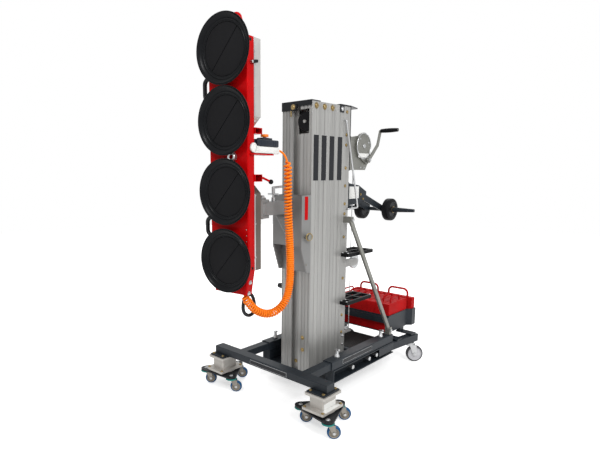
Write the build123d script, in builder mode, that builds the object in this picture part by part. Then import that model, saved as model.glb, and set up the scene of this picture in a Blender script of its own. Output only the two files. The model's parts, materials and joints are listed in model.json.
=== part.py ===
from build123d import *
import os
from math import cos, radians, sin, tan

# Hand-winched glass hoist: a wheeled base with a sliding front frame on two dollies, a telescopic
# mast of four extrusions, and a carriage with an arm that carries a four-pad vacuum beam.
# +X is the hoist's left side, -Y its front, +Z up, and the floor is Z = 0. Millimetres.

# Fits
RUN_GAP = 0.06  # pin or shaft in its bore, on the radius
SLIDE_GAP = 0.6  # sliding tube or mast section, on each side
SIDE_PLAY = 0.5  # beside a turning piece

# Base frame
LEG_X = 226.0  # leg centre from the middle plane
LEG_W = 50.0
LEG_H = 40.0
LEG_WALL = 3.0
SLEEVE_WALL = 4.4
SLEEVE_FRONT_Y = -231.0
SLEEVE_LEN = 637.0
CHANNEL_WALL = 5.0
CHANNEL_DEPTH = 55.0
CHANNEL_H = 70.0
CHANNEL_LEN = 632.0
CHANNEL_SETBACK = 12.0
REAR_TUBE = 50.0
REAR_TUBE_WALL = 4.0
REAR_TUBE_LEN = 435.0
REAR_TUBE_SPLAY = 32.0
DECK_T = 6.0

# Rear casters
REAR_CASTER_H = 131.0
REAR_WHEEL_R = 54.0
REAR_WHEEL_W = 32.0
REAR_TRAIL = 34.0
REAR_CASTER_INSET = 55.0

# Front frame and dollies
CROSSBAR_LEN = 800.0
CROSSBAR_W = 60.0
CROSSBAR_Y = -440.0
LEG_LEN = 690.0
END_PLATE_T = 8.0
END_PLATE_W = 104.0
END_PLATE_L = 124.0
DOLLY_X = 355.0
RISER_TOP_W = 120.0
RISER_TOP_L = 142.0
RISER_BOTTOM_W = 130.0
RISER_BOTTOM_L = 168.0
RISER_WAIST_W = 84.0
RISER_WAIST_L = 106.0
RISER_FLANGE_T = 12.0
TURNTABLE_R = 62.0
TURNTABLE_T = 7.0
DOLLY_PLATE_T = 8.0
DOLLY_CORNER_R = 30.0
DOLLY_CASTER_R = 112.0  # dolly centre to each caster's swivel axis
DOLLY_CASTER_H = 84.0
DOLLY_WHEEL_R = 33.0
DOLLY_WHEEL_W = 24.0
DOLLY_TRAIL = 28.0
DOLLY_TURN = {"left": 80.0, "right": 96.0}  # heading of each dolly's rear corner
CASTER_HEADING = 42.0  # the way the casters trail, from +X towards +Y

# Clamp handles on the sleeves
CLAMP_R = 6.0
CLAMP_YS = {"front": -146.0, "rear": 307.0}
CLAMP_RISE = 44.0
CLAMP_BAR_LEN = 46.0

# Base wheels
BASE_WHEEL_R = 50.0
BASE_WHEEL_W = 30.0
BASE_WHEEL_Y = 190.0
BASE_AXLE_R = 10.0

# Place of the origin, under the middle of the plan
ORIGIN_SHIFT_Y = 27.0

# Mast
MAST_W = 200.0
MAST_H = 1455.0
MAST_PITCH = 68.5  # depth taken by each section
MAST_REAR_Y = 40.0  # rear face of the fixed section
MAST_WALL = 4.0
SLOT_W = 76.0  # guide slot in each section's front
SLOT_DEPTH = 24.0
LIP_W = 12.0
TONGUE_T = 6.0
REAR_RAIL_DEPTH = 64.0
REAR_RAIL_W = 34.0
REAR_RAIL_T = 5.0
SHEAVE_R = 0.24 * MAST_W
SHEAVE_W = 12.0
SHEAVE_X = 0.23 * MAST_W
SHEAVE_DROP = 98.0  # sheave axis below the mast's top
SHEAVE_PIN_R = 8.0
CAP_H = 40.0
CAP_T = 5.0

# Derived heights of the base
SLEEVE_W = LEG_W + 2 * (SLIDE_GAP + SLEEVE_WALL)
SLEEVE_H = LEG_H + 2 * (SLIDE_GAP + SLEEVE_WALL)
CHANNEL_TOP_Z = REAR_CASTER_H + REAR_TUBE + CHANNEL_WALL
CHANNEL_BOTTOM_Z = CHANNEL_TOP_Z - CHANNEL_H
LEG_Z = CHANNEL_TOP_Z + SLEEVE_H / 2
SLEEVE_TOP_Z = CHANNEL_TOP_Z + SLEEVE_H
CHANNEL_X = LEG_X - SLEEVE_W / 2 + CHANNEL_DEPTH / 2 + SLEEVE_WALL * 2
CHANNEL_IN_X = CHANNEL_X - CHANNEL_DEPTH / 2
CHANNEL_FRONT_Y = SLEEVE_FRONT_Y + CHANNEL_SETBACK
CHANNEL_REAR_Y = CHANNEL_FRONT_Y + CHANNEL_LEN
REAR_TUBE_X = CHANNEL_IN_X + CHANNEL_WALL + REAR_TUBE / 2
REAR_TUBE_Z = REAR_CASTER_H + REAR_TUBE / 2
REAR_TUBE_FRONT_Y = CHANNEL_REAR_Y - 170.0
REAR_TUBE_END_Y = REAR_TUBE_FRONT_Y + REAR_TUBE_LEN
REAR_CASTER_Y = REAR_TUBE_END_Y - REAR_CASTER_INSET
MAST_BASE_Z = CHANNEL_BOTTOM_Z + DECK_T
MAST_TOP_Z = MAST_BASE_Z + MAST_H
MAST_FRONT_Y = MAST_REAR_Y - 4 * MAST_PITCH
REAR_RAIL_BACK_Y = MAST_REAR_Y + REAR_RAIL_DEPTH
SECTION_DEPTH = MAST_PITCH - SLIDE_GAP
CROSSBAR_BOTTOM_Z = LEG_Z - LEG_H / 2
RISER_TOP_Z = CROSSBAR_BOTTOM_Z - END_PLATE_T
DOLLY_TOP_Z = DOLLY_CASTER_H + DOLLY_PLATE_T
RISER_BOTTOM_Z = DOLLY_TOP_Z + TURNTABLE_T
SIDES = {"left": 1, "right": -1}

os.makedirs("parts", exist_ok=True)


def front_plane(y, x=0.0, z=0.0):
    """Plane across the hoist: sketch x to the left side, sketch y up, normal to the front."""
    return Plane(origin=(x, y, z), x_dir=(1, 0, 0), z_dir=(0, -1, 0))


def side_plane(x, y=0.0, z=0.0):
    """Plane along the hoist: sketch x to the rear, sketch y up, normal to the left side."""
    return Plane(origin=(x, y, z), x_dir=(0, 1, 0), z_dir=(1, 0, 0))


def flat_plane(z, x=0.0, y=0.0):
    return Plane(origin=(x, y, z), x_dir=(1, 0, 0), z_dir=(0, 0, 1))


def placed(shape):
    return shape.moved(Location((0, ORIGIN_SHIFT_Y, 0)))


def save(shape, name):
    solid = placed(shape)
    solid.label = name
    export_step(solid, f"parts/{name}.step")


def group(solids, name):
    whole = Compound(label=name, children=[placed(solid) for solid in solids])
    export_step(whole, f"parts/{name}.step")


def swung(shape):
    """Piece of the head or knuckle, swung about the arm's pivot."""
    return shape.rotate(Axis((0, ARM_PIVOT_Y, 0), (0, 0, 1)), HEAD_SWING)


def swung_point(x, y, z):
    """Point of the head, swung about the arm's pivot."""
    turn = radians(HEAD_SWING)
    out = y - ARM_PIVOT_Y
    return (x * cos(turn) - out * sin(turn), ARM_PIVOT_Y + x * sin(turn) + out * cos(turn), z)


# Base frame: a weldment of two sleeves, two channels with end plates, two rear tubes, the deck and the
# mast's floor plate
def make_sleeve(side):
    with BuildPart() as sleeve:
        with BuildSketch(front_plane(SLEEVE_FRONT_Y, side * LEG_X, LEG_Z)):
            RectangleRounded(SLEEVE_W, SLEEVE_H, SLEEVE_WALL)
            Rectangle(LEG_W + 2 * SLIDE_GAP, LEG_H + 2 * SLIDE_GAP, mode=Mode.SUBTRACT)
        extrude(amount=-SLEEVE_LEN)
        with Locations(*[(side * LEG_X, y, SLEEVE_TOP_Z) for y in CLAMP_YS.values()]):
            Hole(CLAMP_R + RUN_GAP, depth=2 * SLEEVE_WALL)
    return sleeve.part


def make_channel(side):
    with BuildPart() as channel:
        with BuildSketch(front_plane(CHANNEL_FRONT_Y, side * CHANNEL_X, CHANNEL_TOP_Z - CHANNEL_H / 2)):
            Rectangle(CHANNEL_DEPTH, CHANNEL_H)
            with Locations((side * CHANNEL_WALL, 0)):
                Rectangle(CHANNEL_DEPTH, CHANNEL_H - 2 * CHANNEL_WALL, mode=Mode.SUBTRACT)
        extrude(amount=-CHANNEL_LEN)
        with BuildSketch(front_plane(CHANNEL_FRONT_Y, side * CHANNEL_X, CHANNEL_TOP_Z - CHANNEL_H / 2)):
            with BuildLine():
                Polyline(
                    (-side * CHANNEL_DEPTH / 2, CHANNEL_H / 2),
                    (side * CHANNEL_DEPTH / 2, CHANNEL_H / 2),
                    (side * CHANNEL_DEPTH / 2, -CHANNEL_H / 2),
                    (-side * CHANNEL_DEPTH / 2, -CHANNEL_H / 2),
                    close=True,
                )
            make_face()
        extrude(amount=-CHANNEL_WALL)
        with Locations(
            Location((side * CHANNEL_IN_X, BASE_WHEEL_Y, base_axle_z()), (0, 90 * side, 0))
        ):
            Hole(BASE_AXLE_R + RUN_GAP, depth=3 * CHANNEL_WALL)
    return channel.part


def base_axle_z():
    return CHANNEL_BOTTOM_Z + CHANNEL_WALL + BASE_AXLE_R + 6.0


def make_rear_tube(side):
    bend_y = CHANNEL_REAR_Y
    end_x = REAR_TUBE_X + REAR_TUBE_SPLAY
    with BuildPart() as tube:
        with BuildLine() as path:
            Polyline(
                (side * REAR_TUBE_X, REAR_TUBE_FRONT_Y, REAR_TUBE_Z),
                (side * REAR_TUBE_X, bend_y, REAR_TUBE_Z),
                (side * end_x, REAR_TUBE_END_Y, REAR_TUBE_Z),
            )
        with BuildSketch(front_plane(REAR_TUBE_FRONT_Y, side * REAR_TUBE_X, REAR_TUBE_Z)):
            RectangleRounded(REAR_TUBE, REAR_TUBE, REAR_TUBE_WALL)
            Rectangle(REAR_TUBE - 2 * REAR_TUBE_WALL, REAR_TUBE - 2 * REAR_TUBE_WALL, mode=Mode.SUBTRACT)
        sweep(path=path.line, transition=Transition.RIGHT)
        caster_x, caster_y = rear_caster_place(side)
        with Locations((caster_x, caster_y, REAR_CASTER_H + REAR_TUBE_WALL)):
            Hole(REAR_STEM_R + RUN_GAP, depth=2 * REAR_TUBE_WALL)
    return tube.part


def rear_caster_place(side):
    """Swivel axis of a rear caster, on the middle line of the splayed tube end."""
    share = (REAR_CASTER_Y - CHANNEL_REAR_Y) / (REAR_TUBE_END_Y - CHANNEL_REAR_Y)
    return side * (REAR_TUBE_X + share * REAR_TUBE_SPLAY), REAR_CASTER_Y


REAR_STEM_R = 10.0
DECK_STEP_Y = REAR_RAIL_BACK_Y + 6.0
DECK_FRONT_Y = MAST_FRONT_Y - 10.0
DECK_HALF_W = CHANNEL_IN_X

with BuildPart() as mast_floor:
    with BuildSketch(side_plane(-DECK_HALF_W)):
        with BuildLine():
            Polyline(
                (DECK_FRONT_Y, CHANNEL_BOTTOM_Z),
                (DECK_STEP_Y + DECK_T, CHANNEL_BOTTOM_Z),
                (DECK_STEP_Y + DECK_T, MAST_BASE_Z),
                (DECK_FRONT_Y, MAST_BASE_Z),
                close=True,
            )
        make_face()
    extrude(amount=2 * DECK_HALF_W)

with BuildPart() as deck:
    with BuildSketch(side_plane(-DECK_HALF_W)):
        with BuildLine():
            Polyline(
                (DECK_STEP_Y, MAST_BASE_Z),
                (DECK_STEP_Y + DECK_T, MAST_BASE_Z),
                (DECK_STEP_Y + DECK_T, CHANNEL_TOP_Z - DECK_T),
                (CHANNEL_REAR_Y, CHANNEL_TOP_Z - DECK_T),
                (CHANNEL_REAR_Y, CHANNEL_TOP_Z),
                (DECK_STEP_Y, CHANNEL_TOP_Z),
                close=True,
            )
        make_face()
    extrude(amount=2 * DECK_HALF_W)
    with Locations(*[(s * (DECK_HALF_W - BASE_WHEEL_W), BASE_WHEEL_Y, CHANNEL_TOP_Z) for s in (1, -1)]):
        Box(BASE_WHEEL_W + 20, 2 * BASE_WHEEL_R + 24, 4 * DECK_T, mode=Mode.SUBTRACT)

weldment = [mast_floor.part, deck.part]
for side in SIDES.values():
    weldment += [make_sleeve(side), make_channel(side), make_rear_tube(side)]
group(weldment, "base_frame")

# Front frame: crossbar, two leg tubes that slide in the sleeves, and a plate under each crossbar end
LEG_FRONT_Y = CROSSBAR_Y + CROSSBAR_W / 2
PLATE_BOLT_X = END_PLATE_W / 2 - 14.0
PLATE_BOLT_Y = END_PLATE_L / 2 - 14.0
PLATE_BOLT_R = 5.0

with BuildPart() as front_frame:
    with BuildSketch(side_plane(-CROSSBAR_LEN / 2, CROSSBAR_Y, LEG_Z)):
        RectangleRounded(CROSSBAR_W, LEG_H, LEG_WALL)
        Rectangle(CROSSBAR_W - 2 * LEG_WALL, LEG_H - 2 * LEG_WALL, mode=Mode.SUBTRACT)
    extrude(amount=CROSSBAR_LEN)
    for side in SIDES.values():
        with BuildSketch(side_plane(side * CROSSBAR_LEN / 2, CROSSBAR_Y, LEG_Z)):
            RectangleRounded(CROSSBAR_W, LEG_H, LEG_WALL)
        extrude(amount=-side * LEG_WALL)
        with BuildSketch(front_plane(LEG_FRONT_Y - 2 * LEG_WALL, side * LEG_X, LEG_Z)):
            RectangleRounded(LEG_W, LEG_H, LEG_WALL)
            Rectangle(LEG_W - 2 * LEG_WALL, LEG_H - 2 * LEG_WALL, mode=Mode.SUBTRACT)
        extrude(amount=-LEG_LEN - 2 * LEG_WALL)
        with BuildSketch(flat_plane(CROSSBAR_BOTTOM_Z, side * DOLLY_X, CROSSBAR_Y)):
            Rectangle(END_PLATE_W, END_PLATE_L)
            with GridLocations(2 * PLATE_BOLT_X, 2 * PLATE_BOLT_Y, 2, 2):
                Circle(PLATE_BOLT_R, mode=Mode.SUBTRACT)
        extrude(amount=-END_PLATE_T)
save(front_frame.part, "front_frame")


# Risers: cast spacers with a waist between two flanges, and a turntable disc with a pivot below
RISER_FILLET = 8.0
PIVOT_R = 12.0


def make_riser(side):
    waist_h = RISER_TOP_Z - RISER_BOTTOM_Z - 2 * RISER_FLANGE_T
    with BuildPart() as riser:
        with BuildSketch(flat_plane(RISER_BOTTOM_Z, side * DOLLY_X, CROSSBAR_Y)):
            RectangleRounded(RISER_BOTTOM_W, RISER_BOTTOM_L, RISER_FILLET)
        extrude(amount=RISER_FLANGE_T)
        with BuildSketch(flat_plane(RISER_BOTTOM_Z + RISER_FLANGE_T, side * DOLLY_X, CROSSBAR_Y)):
            RectangleRounded(RISER_WAIST_W, RISER_WAIST_L, RISER_FILLET)
        extrude(amount=waist_h)
        with BuildSketch(flat_plane(RISER_TOP_Z, side * DOLLY_X, CROSSBAR_Y)):
            RectangleRounded(RISER_TOP_W, RISER_TOP_L, RISER_FILLET)
        extrude(amount=-RISER_FLANGE_T)
        with BuildSketch(flat_plane(RISER_BOTTOM_Z, side * DOLLY_X, CROSSBAR_Y)):
            Circle(TURNTABLE_R)
        extrude(amount=-(TURNTABLE_T - SIDE_PLAY))
        with BuildSketch(flat_plane(RISER_BOTTOM_Z, side * DOLLY_X, CROSSBAR_Y)):
            Circle(PIVOT_R)
        extrude(amount=-(TURNTABLE_T + DOLLY_PLATE_T))
    return riser.part


group([make_riser(side) for side in SIDES.values()], "risers")


# Dolly plates: rounded triangles with a pivot hole, three swivel holes and three lightening holes
SWIVEL_R = 7.0
LIGHTENING_R = 11.0


def dolly_caster_places(name):
    side = SIDES[name]
    headings = [DOLLY_TURN[name] - side * 120 * i for i in range(3)]
    return [
        (side * DOLLY_X + DOLLY_CASTER_R * cos(radians(a)), CROSSBAR_Y + DOLLY_CASTER_R * sin(radians(a)))
        for a in headings
    ]


def make_dolly_plate(name):
    centre = (SIDES[name] * DOLLY_X, CROSSBAR_Y)
    with BuildPart() as plate:
        with BuildSketch(flat_plane(DOLLY_CASTER_H)):
            with Locations(*dolly_caster_places(name)):
                Circle(DOLLY_CORNER_R)
            make_hull()
            with Locations(*dolly_caster_places(name)):
                Circle(SWIVEL_R + RUN_GAP, mode=Mode.SUBTRACT)
            with Locations(centre):
                Circle(PIVOT_R + RUN_GAP, mode=Mode.SUBTRACT)
                with PolarLocations(0.45 * DOLLY_CASTER_R, 3, DOLLY_TURN[name] + 60):
                    Circle(LIGHTENING_R, mode=Mode.SUBTRACT)
        extrude(amount=DOLLY_PLATE_T)
    return plate.part


for name in SIDES:
    save(make_dolly_plate(name), f"dolly_plate_{name}")


# Swivel casters: a stem, a bearing cup, a crown and two cheeks with a dead axle; the wheel turns on it
def make_fork(place, top_z, stem_r, stem_len, cup_r, wheel_r, wheel_w, trail, cheek_t, axle_r):
    heading = Vector(cos(radians(CASTER_HEADING)), sin(radians(CASTER_HEADING)), 0)
    across = Vector(-heading.Y, heading.X, 0)
    swivel = Vector(*place, 0)
    wheel_centre = swivel + heading * trail + Vector(0, 0, wheel_r)
    crown_z = 2 * wheel_r + 3.0
    half_gap = wheel_w / 2 + SIDE_PLAY
    cup_h = top_z - SIDE_PLAY - crown_z - cheek_t
    with BuildPart() as fork:
        with BuildSketch(Plane(origin=swivel + Vector(0, 0, crown_z + cheek_t), z_dir=(0, 0, 1))):
            Circle(cup_r)
        extrude(amount=cup_h)
        with BuildSketch(Plane(origin=swivel + Vector(0, 0, crown_z + cheek_t), z_dir=(0, 0, 1))):
            Circle(stem_r)
        extrude(amount=cup_h + SIDE_PLAY + stem_len)
        crown = Plane(origin=swivel + Vector(0, 0, crown_z), x_dir=heading, z_dir=(0, 0, 1))
        with BuildSketch(crown):
            Circle(cup_r)
            with Locations((trail / 2, 0)):
                Rectangle(trail, 2 * (half_gap + cheek_t))
        extrude(amount=cheek_t)
        for hand in (1, -1):
            cheek = Plane(
                origin=wheel_centre + across * hand * half_gap, x_dir=heading, z_dir=across * hand
            )
            rise = crown_z + cheek_t - wheel_r
            with BuildSketch(cheek):
                with BuildLine():
                    Polyline(
                        (-trail, hand * -rise),
                        (-trail, hand * -(rise - 2 * cheek_t)),
                        (-2 * axle_r, 0),
                        (2 * axle_r, 0),
                        (axle_r, hand * -rise),
                        close=True,
                    )
                make_face()
                Circle(2 * axle_r)
            extrude(amount=cheek_t)
        axle = Plane(origin=wheel_centre - across * half_gap, z_dir=across)
        with BuildSketch(axle):
            Circle(axle_r)
        extrude(amount=2 * half_gap)
    return fork.part


def make_wheel(centre, spin, wheel_r, wheel_w, bore_r, tread_t):
    """Wheel turned about its axle: hub, thin web on each side and a rounded tread."""
    hub_r = bore_r + 5.0
    rim_r = wheel_r - tread_t
    half = wheel_w / 2
    section = Plane(origin=centre, x_dir=(0, 0, 1), z_dir=Vector(0, 0, 1).cross(spin))
    with BuildPart() as wheel:
        with BuildSketch(section):
            with BuildLine():
                Polyline(
                    (bore_r, -half),
                    (hub_r, -half),
                    (hub_r + 2.0, -half + 4.0),
                    (rim_r - 4.0, -half + 4.0),
                    (rim_r - 2.0, -half),
                    (rim_r, -half),
                    (wheel_r, -0.6 * half),
                    (wheel_r, 0.6 * half),
                    (rim_r, half),
                    (rim_r - 2.0, half),
                    (rim_r - 4.0, half - 4.0),
                    (hub_r + 2.0, half - 4.0),
                    (hub_r, half),
                    (bore_r, half),
                    close=True,
                )
            make_face()
        revolve(axis=Axis(centre, spin))
    return wheel.part


def trailing_wheel_place(place, trail, wheel_r):
    heading = Vector(cos(radians(CASTER_HEADING)), sin(radians(CASTER_HEADING)), 0)
    across = Vector(-heading.Y, heading.X, 0)
    return Vector(*place, wheel_r) + heading * trail, across


DOLLY_AXLE_R = 5.0
DOLLY_CHEEK_T = 3.0
DOLLY_CUP_R = 20.0
REAR_AXLE_R = 7.0
REAR_CHEEK_T = 4.0
REAR_CUP_R = 27.0
CORNERS = ("rear", "outer", "inner")

for name in SIDES:
    for corner, place in zip(CORNERS, dolly_caster_places(name)):
        fork = make_fork(
            place, DOLLY_CASTER_H, SWIVEL_R, DOLLY_PLATE_T, DOLLY_CUP_R,
            DOLLY_WHEEL_R, DOLLY_WHEEL_W, DOLLY_TRAIL, DOLLY_CHEEK_T, DOLLY_AXLE_R,
        )
        save(fork, f"dolly_fork_{name}_{corner}")
        centre, spin = trailing_wheel_place(place, DOLLY_TRAIL, DOLLY_WHEEL_R)
        wheel = make_wheel(centre, spin, DOLLY_WHEEL_R, DOLLY_WHEEL_W, DOLLY_AXLE_R + RUN_GAP, 7.0)
        save(wheel, f"dolly_wheel_{name}_{corner}")
    rear_place = rear_caster_place(SIDES[name])
    fork = make_fork(
        rear_place, REAR_CASTER_H, REAR_STEM_R, REAR_TUBE_WALL, REAR_CUP_R,
        REAR_WHEEL_R, REAR_WHEEL_W, REAR_TRAIL, REAR_CHEEK_T, REAR_AXLE_R,
    )
    save(fork, f"rear_fork_{name}")
    centre, spin = trailing_wheel_place(rear_place, REAR_TRAIL, REAR_WHEEL_R)
    wheel = make_wheel(centre, spin, REAR_WHEEL_R, REAR_WHEEL_W, REAR_AXLE_R + RUN_GAP, 11.0)
    save(wheel, f"rear_wheel_{name}")


# Clamp handles: a screw through the sleeve's top wall with a flared hub and a cranked cross bar
CLAMP_HUB_R = 15.0
CLAMP_HUB_H = 22.0
CLAMP_BAR_R = 5.0


def make_clamp(side, y):
    foot_z = SLEEVE_TOP_Z - SLEEVE_WALL - SLIDE_GAP
    with BuildPart() as clamp:
        with BuildSketch(front_plane(y, side * LEG_X)):
            with BuildLine():
                Polyline(
                    (0, foot_z + 0.3),
                    (CLAMP_R, foot_z + 0.3),
                    (CLAMP_R, SLEEVE_TOP_Z + SIDE_PLAY),
                    (CLAMP_HUB_R, SLEEVE_TOP_Z + SIDE_PLAY),
                    (CLAMP_HUB_R, SLEEVE_TOP_Z + 0.3 * CLAMP_HUB_H),
                    (0.55 * CLAMP_HUB_R, SLEEVE_TOP_Z + CLAMP_HUB_H),
                    (0.5 * CLAMP_HUB_R, SLEEVE_TOP_Z + CLAMP_RISE),
                    (0, SLEEVE_TOP_Z + CLAMP_RISE),
                    close=True,
                )
            make_face()
        revolve(axis=Axis((side * LEG_X, y, 0), (0, 0, 1)))
        bar_z = SLEEVE_TOP_Z + CLAMP_RISE - CLAMP_BAR_R
        bar_dir = Vector(cos(radians(-30)), sin(radians(-30)), 0.35)
        start = Vector(side * LEG_X, y, bar_z) - bar_dir * (0.35 * CLAMP_BAR_LEN)
        with BuildSketch(Plane(origin=start, z_dir=bar_dir)):
            Circle(CLAMP_BAR_R)
        extrude(amount=CLAMP_BAR_LEN)
    return clamp.part


for name, side in SIDES.items():
    for end, y in CLAMP_YS.items():
        save(make_clamp(side, y), f"clamp_handle_{name}_{end}")

# Base wheels: a pair fixed on one axle that turns in the channel webs
BASE_TREAD_T = 10.0
base_axle_centre = Vector(0, BASE_WHEEL_Y, base_axle_z())
axle_half = CHANNEL_IN_X + CHANNEL_WALL
with BuildPart() as base_wheels:
    with BuildSketch(side_plane(-axle_half, BASE_WHEEL_Y, base_axle_z())):
        Circle(BASE_AXLE_R)
    extrude(amount=2 * axle_half)
    for side in SIDES.values():
        with BuildSketch(side_plane(side * (CHANNEL_IN_X - BASE_WHEEL_W), BASE_WHEEL_Y, base_axle_z())):
            Circle(BASE_WHEEL_R)
        wheel_disc = extrude(amount=BASE_WHEEL_W / 2, both=True)
    fillet(base_wheels.edges().filter_by(GeomType.CIRCLE).group_by(SortBy.RADIUS)[-1], 4.0)
save(base_wheels.part, "base_wheels")


# Mast sections: like extrusions, each with a guide slot in front and a tongue that runs in the next
def mast_section_plane(index, z=0.0):
    """Plane at the middle of a section's rear face; sketch x to the left, sketch y to the front."""
    rear_y = MAST_REAR_Y - index * MAST_PITCH
    return Plane(origin=(0, rear_y, z), x_dir=(-1, 0, 0), z_dir=(0, 0, 1))


FLUTE_W = 8.0
FLUTE_DEPTH = 2.0
FLUTE_STEP = 22.0
GROOVE_DEPTH = 1.5
MAST_EDGE = 1.8
NECK_W = SLOT_W - 2 * LIP_W - 2 * SLIDE_GAP
TONGUE_W = SLOT_W - 2 * SLIDE_GAP


def draw_mast_section(with_tongue):
    """Section outline: a hollow box with a lipped slot, flutes in front and a groove on each side."""
    depth = SECTION_DEPTH
    with Locations((0, depth / 2)):
        RectangleRounded(MAST_W, depth, MAST_EDGE)
    side_w = (MAST_W - SLOT_W) / 2 - 2 * MAST_WALL
    for side in (1, -1):
        with Locations((side * (SLOT_W / 2 + MAST_WALL + side_w / 2), depth / 2)):
            Rectangle(side_w, depth - 2 * MAST_WALL, mode=Mode.SUBTRACT)
        with Locations((side * MAST_W / 2, depth / 2)):
            Rectangle(2 * GROOVE_DEPTH, FLUTE_W, mode=Mode.SUBTRACT)
        with Locations(*[(side * (SLOT_W / 2 + 10 + FLUTE_STEP * i), depth) for i in range(3)]):
            Rectangle(FLUTE_W, 2 * FLUTE_DEPTH, mode=Mode.SUBTRACT)
    back_h = depth - SLOT_DEPTH - 3 * MAST_WALL
    with Locations((0, MAST_WALL + back_h / 2)):
        Rectangle(SLOT_W, back_h, mode=Mode.SUBTRACT)
    lip_t = SLOT_DEPTH - TONGUE_T - 8.0
    with Locations((0, depth - lip_t - (SLOT_DEPTH - lip_t) / 2)):
        Rectangle(SLOT_W, SLOT_DEPTH - lip_t, mode=Mode.SUBTRACT)
    with Locations((0, depth - lip_t / 2)):
        Rectangle(SLOT_W - 2 * LIP_W, lip_t, mode=Mode.SUBTRACT)
    if with_tongue:
        neck_h = lip_t + 2 * SLIDE_GAP
        with Locations((0, -neck_h / 2)):
            Rectangle(NECK_W, neck_h)
        with Locations((0, -neck_h - TONGUE_T / 2)):
            Rectangle(TONGUE_W, TONGUE_T)


WINDOW_W = 88.0
WINDOW_H = 122.0
SHEAVE_Z = MAST_TOP_Z - SHEAVE_DROP
SHEAVE_Y = MAST_FRONT_Y + FLUTE_DEPTH + MAST_WALL + SHEAVE_W

for index in range(4):
    with BuildPart() as section:
        with BuildSketch(mast_section_plane(index, MAST_BASE_Z)):
            draw_mast_section(with_tongue=index > 0)
        extrude(amount=MAST_H)
        if index == 3:
            with BuildSketch(front_plane(MAST_FRONT_Y, SHEAVE_X - 8.0, SHEAVE_Z)):
                Rectangle(WINDOW_W, WINDOW_H)
            extrude(amount=-(SECTION_DEPTH - MAST_WALL), mode=Mode.SUBTRACT)
            with BuildSketch(front_plane(MAST_FRONT_Y + SECTION_DEPTH, SHEAVE_X, SHEAVE_Z)):
                Circle(SHEAVE_PIN_R)
            extrude(amount=SECTION_DEPTH - 2 * FLUTE_DEPTH)
    save(section.part, f"mast_section_{index + 1}")

# Sheave in the front section's window, on a pin that stands out of the section's rear wall
SHEAVE_GROOVE = 4.0
with BuildPart() as sheave:
    with BuildSketch(side_plane(SHEAVE_X, SHEAVE_Y, SHEAVE_Z)):
        with BuildLine():
            Polyline(
                (-SHEAVE_W / 2, SHEAVE_PIN_R + RUN_GAP),
                (SHEAVE_W / 2, SHEAVE_PIN_R + RUN_GAP),
                (SHEAVE_W / 2, SHEAVE_R),
                (0, SHEAVE_R - SHEAVE_GROOVE),
                (-SHEAVE_W / 2, SHEAVE_R),
                close=True,
            )
        make_face()
    revolve(axis=Axis((SHEAVE_X, SHEAVE_Y, SHEAVE_Z), (0, 1, 0)))
save(sheave.part, "sheave")

# Mast cap: a plate on the front section's top with a stepped flange down its front
CAP_DEEP_W = 105.0
with BuildPart() as mast_cap:
    with BuildSketch(flat_plane(MAST_TOP_Z, 0, MAST_FRONT_Y + SECTION_DEPTH / 2 - CAP_T / 2)):
        Rectangle(MAST_W, SECTION_DEPTH + CAP_T)
    extrude(amount=CAP_T)
    with BuildSketch(front_plane(MAST_FRONT_Y, 0, MAST_TOP_Z)):
        with BuildLine():
            Polyline(
                (-MAST_W / 2, 0),
                (MAST_W / 2, 0),
                (MAST_W / 2, -0.55 * CAP_H),
                (CAP_DEEP_W - MAST_W / 2, -0.55 * CAP_H),
                (CAP_DEEP_W - MAST_W / 2, -CAP_H),
                (-MAST_W / 2, -CAP_H),
                close=True,
            )
        make_face()
    extrude(amount=CAP_T)
save(mast_cap.part, "mast_cap")

# Rear rails: two angles down the fixed section, joined by a plate with the idler's lugs and a foot
# plate with the cable's anchor
CABLE_R = 2.5
CABLE_Y = 297.0
ANCHOR_Z = CHANNEL_TOP_Z + 40.0
IDLER_R = 40.0
IDLER_W = 12.0
IDLER_PIN_R = 6.0
IDLER_Z = 672.0
IDLER_Y = CABLE_Y + CABLE_R + IDLER_R
LUG_T = 6.0
LUG_H = 44.0
JOIN_PLATE_T = 6.0
with BuildPart() as rear_rails:
    for side in SIDES.values():
        with BuildSketch(flat_plane(MAST_BASE_Z, 0, MAST_REAR_Y)):
            with Locations((side * (MAST_W - REAR_RAIL_W) / 2, REAR_RAIL_T / 2)):
                Rectangle(REAR_RAIL_W, REAR_RAIL_T)
            with Locations((side * (MAST_W - REAR_RAIL_T) / 2, REAR_RAIL_DEPTH / 2)):
                Rectangle(REAR_RAIL_T, REAR_RAIL_DEPTH)
        extrude(amount=MAST_H)
    for z in (IDLER_Z, ANCHOR_Z):
        with BuildSketch(front_plane(REAR_RAIL_BACK_Y, 0, z)):
            Rectangle(MAST_W, LUG_H + 20)
        extrude(amount=JOIN_PLATE_T)
    for side in (1, -1):
        inner = side * (IDLER_W / 2 + SIDE_PLAY)
        with BuildSketch(side_plane(inner, 0, IDLER_Z)):
            with Locations(((REAR_RAIL_BACK_Y + IDLER_Y) / 2, 0)):
                Rectangle(IDLER_Y - REAR_RAIL_BACK_Y, LUG_H)
            with Locations((IDLER_Y, 0)):
                Circle(LUG_H / 2)
        extrude(amount=side * LUG_T)
    with BuildSketch(side_plane(-IDLER_W / 2 - SIDE_PLAY, IDLER_Y, IDLER_Z)):
        Circle(IDLER_PIN_R)
    extrude(amount=IDLER_W + 2 * SIDE_PLAY)
    with BuildSketch(flat_plane(ANCHOR_Z)):
        with Locations((0, (REAR_RAIL_BACK_Y + CABLE_Y) / 2)):
            Rectangle(30, CABLE_Y - REAR_RAIL_BACK_Y)
        with Locations((0, CABLE_Y)):
            Circle(15)
            Circle(CABLE_R + RUN_GAP, mode=Mode.SUBTRACT)
    extrude(amount=8)
save(rear_rails.part, "rear_rails")

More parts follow.
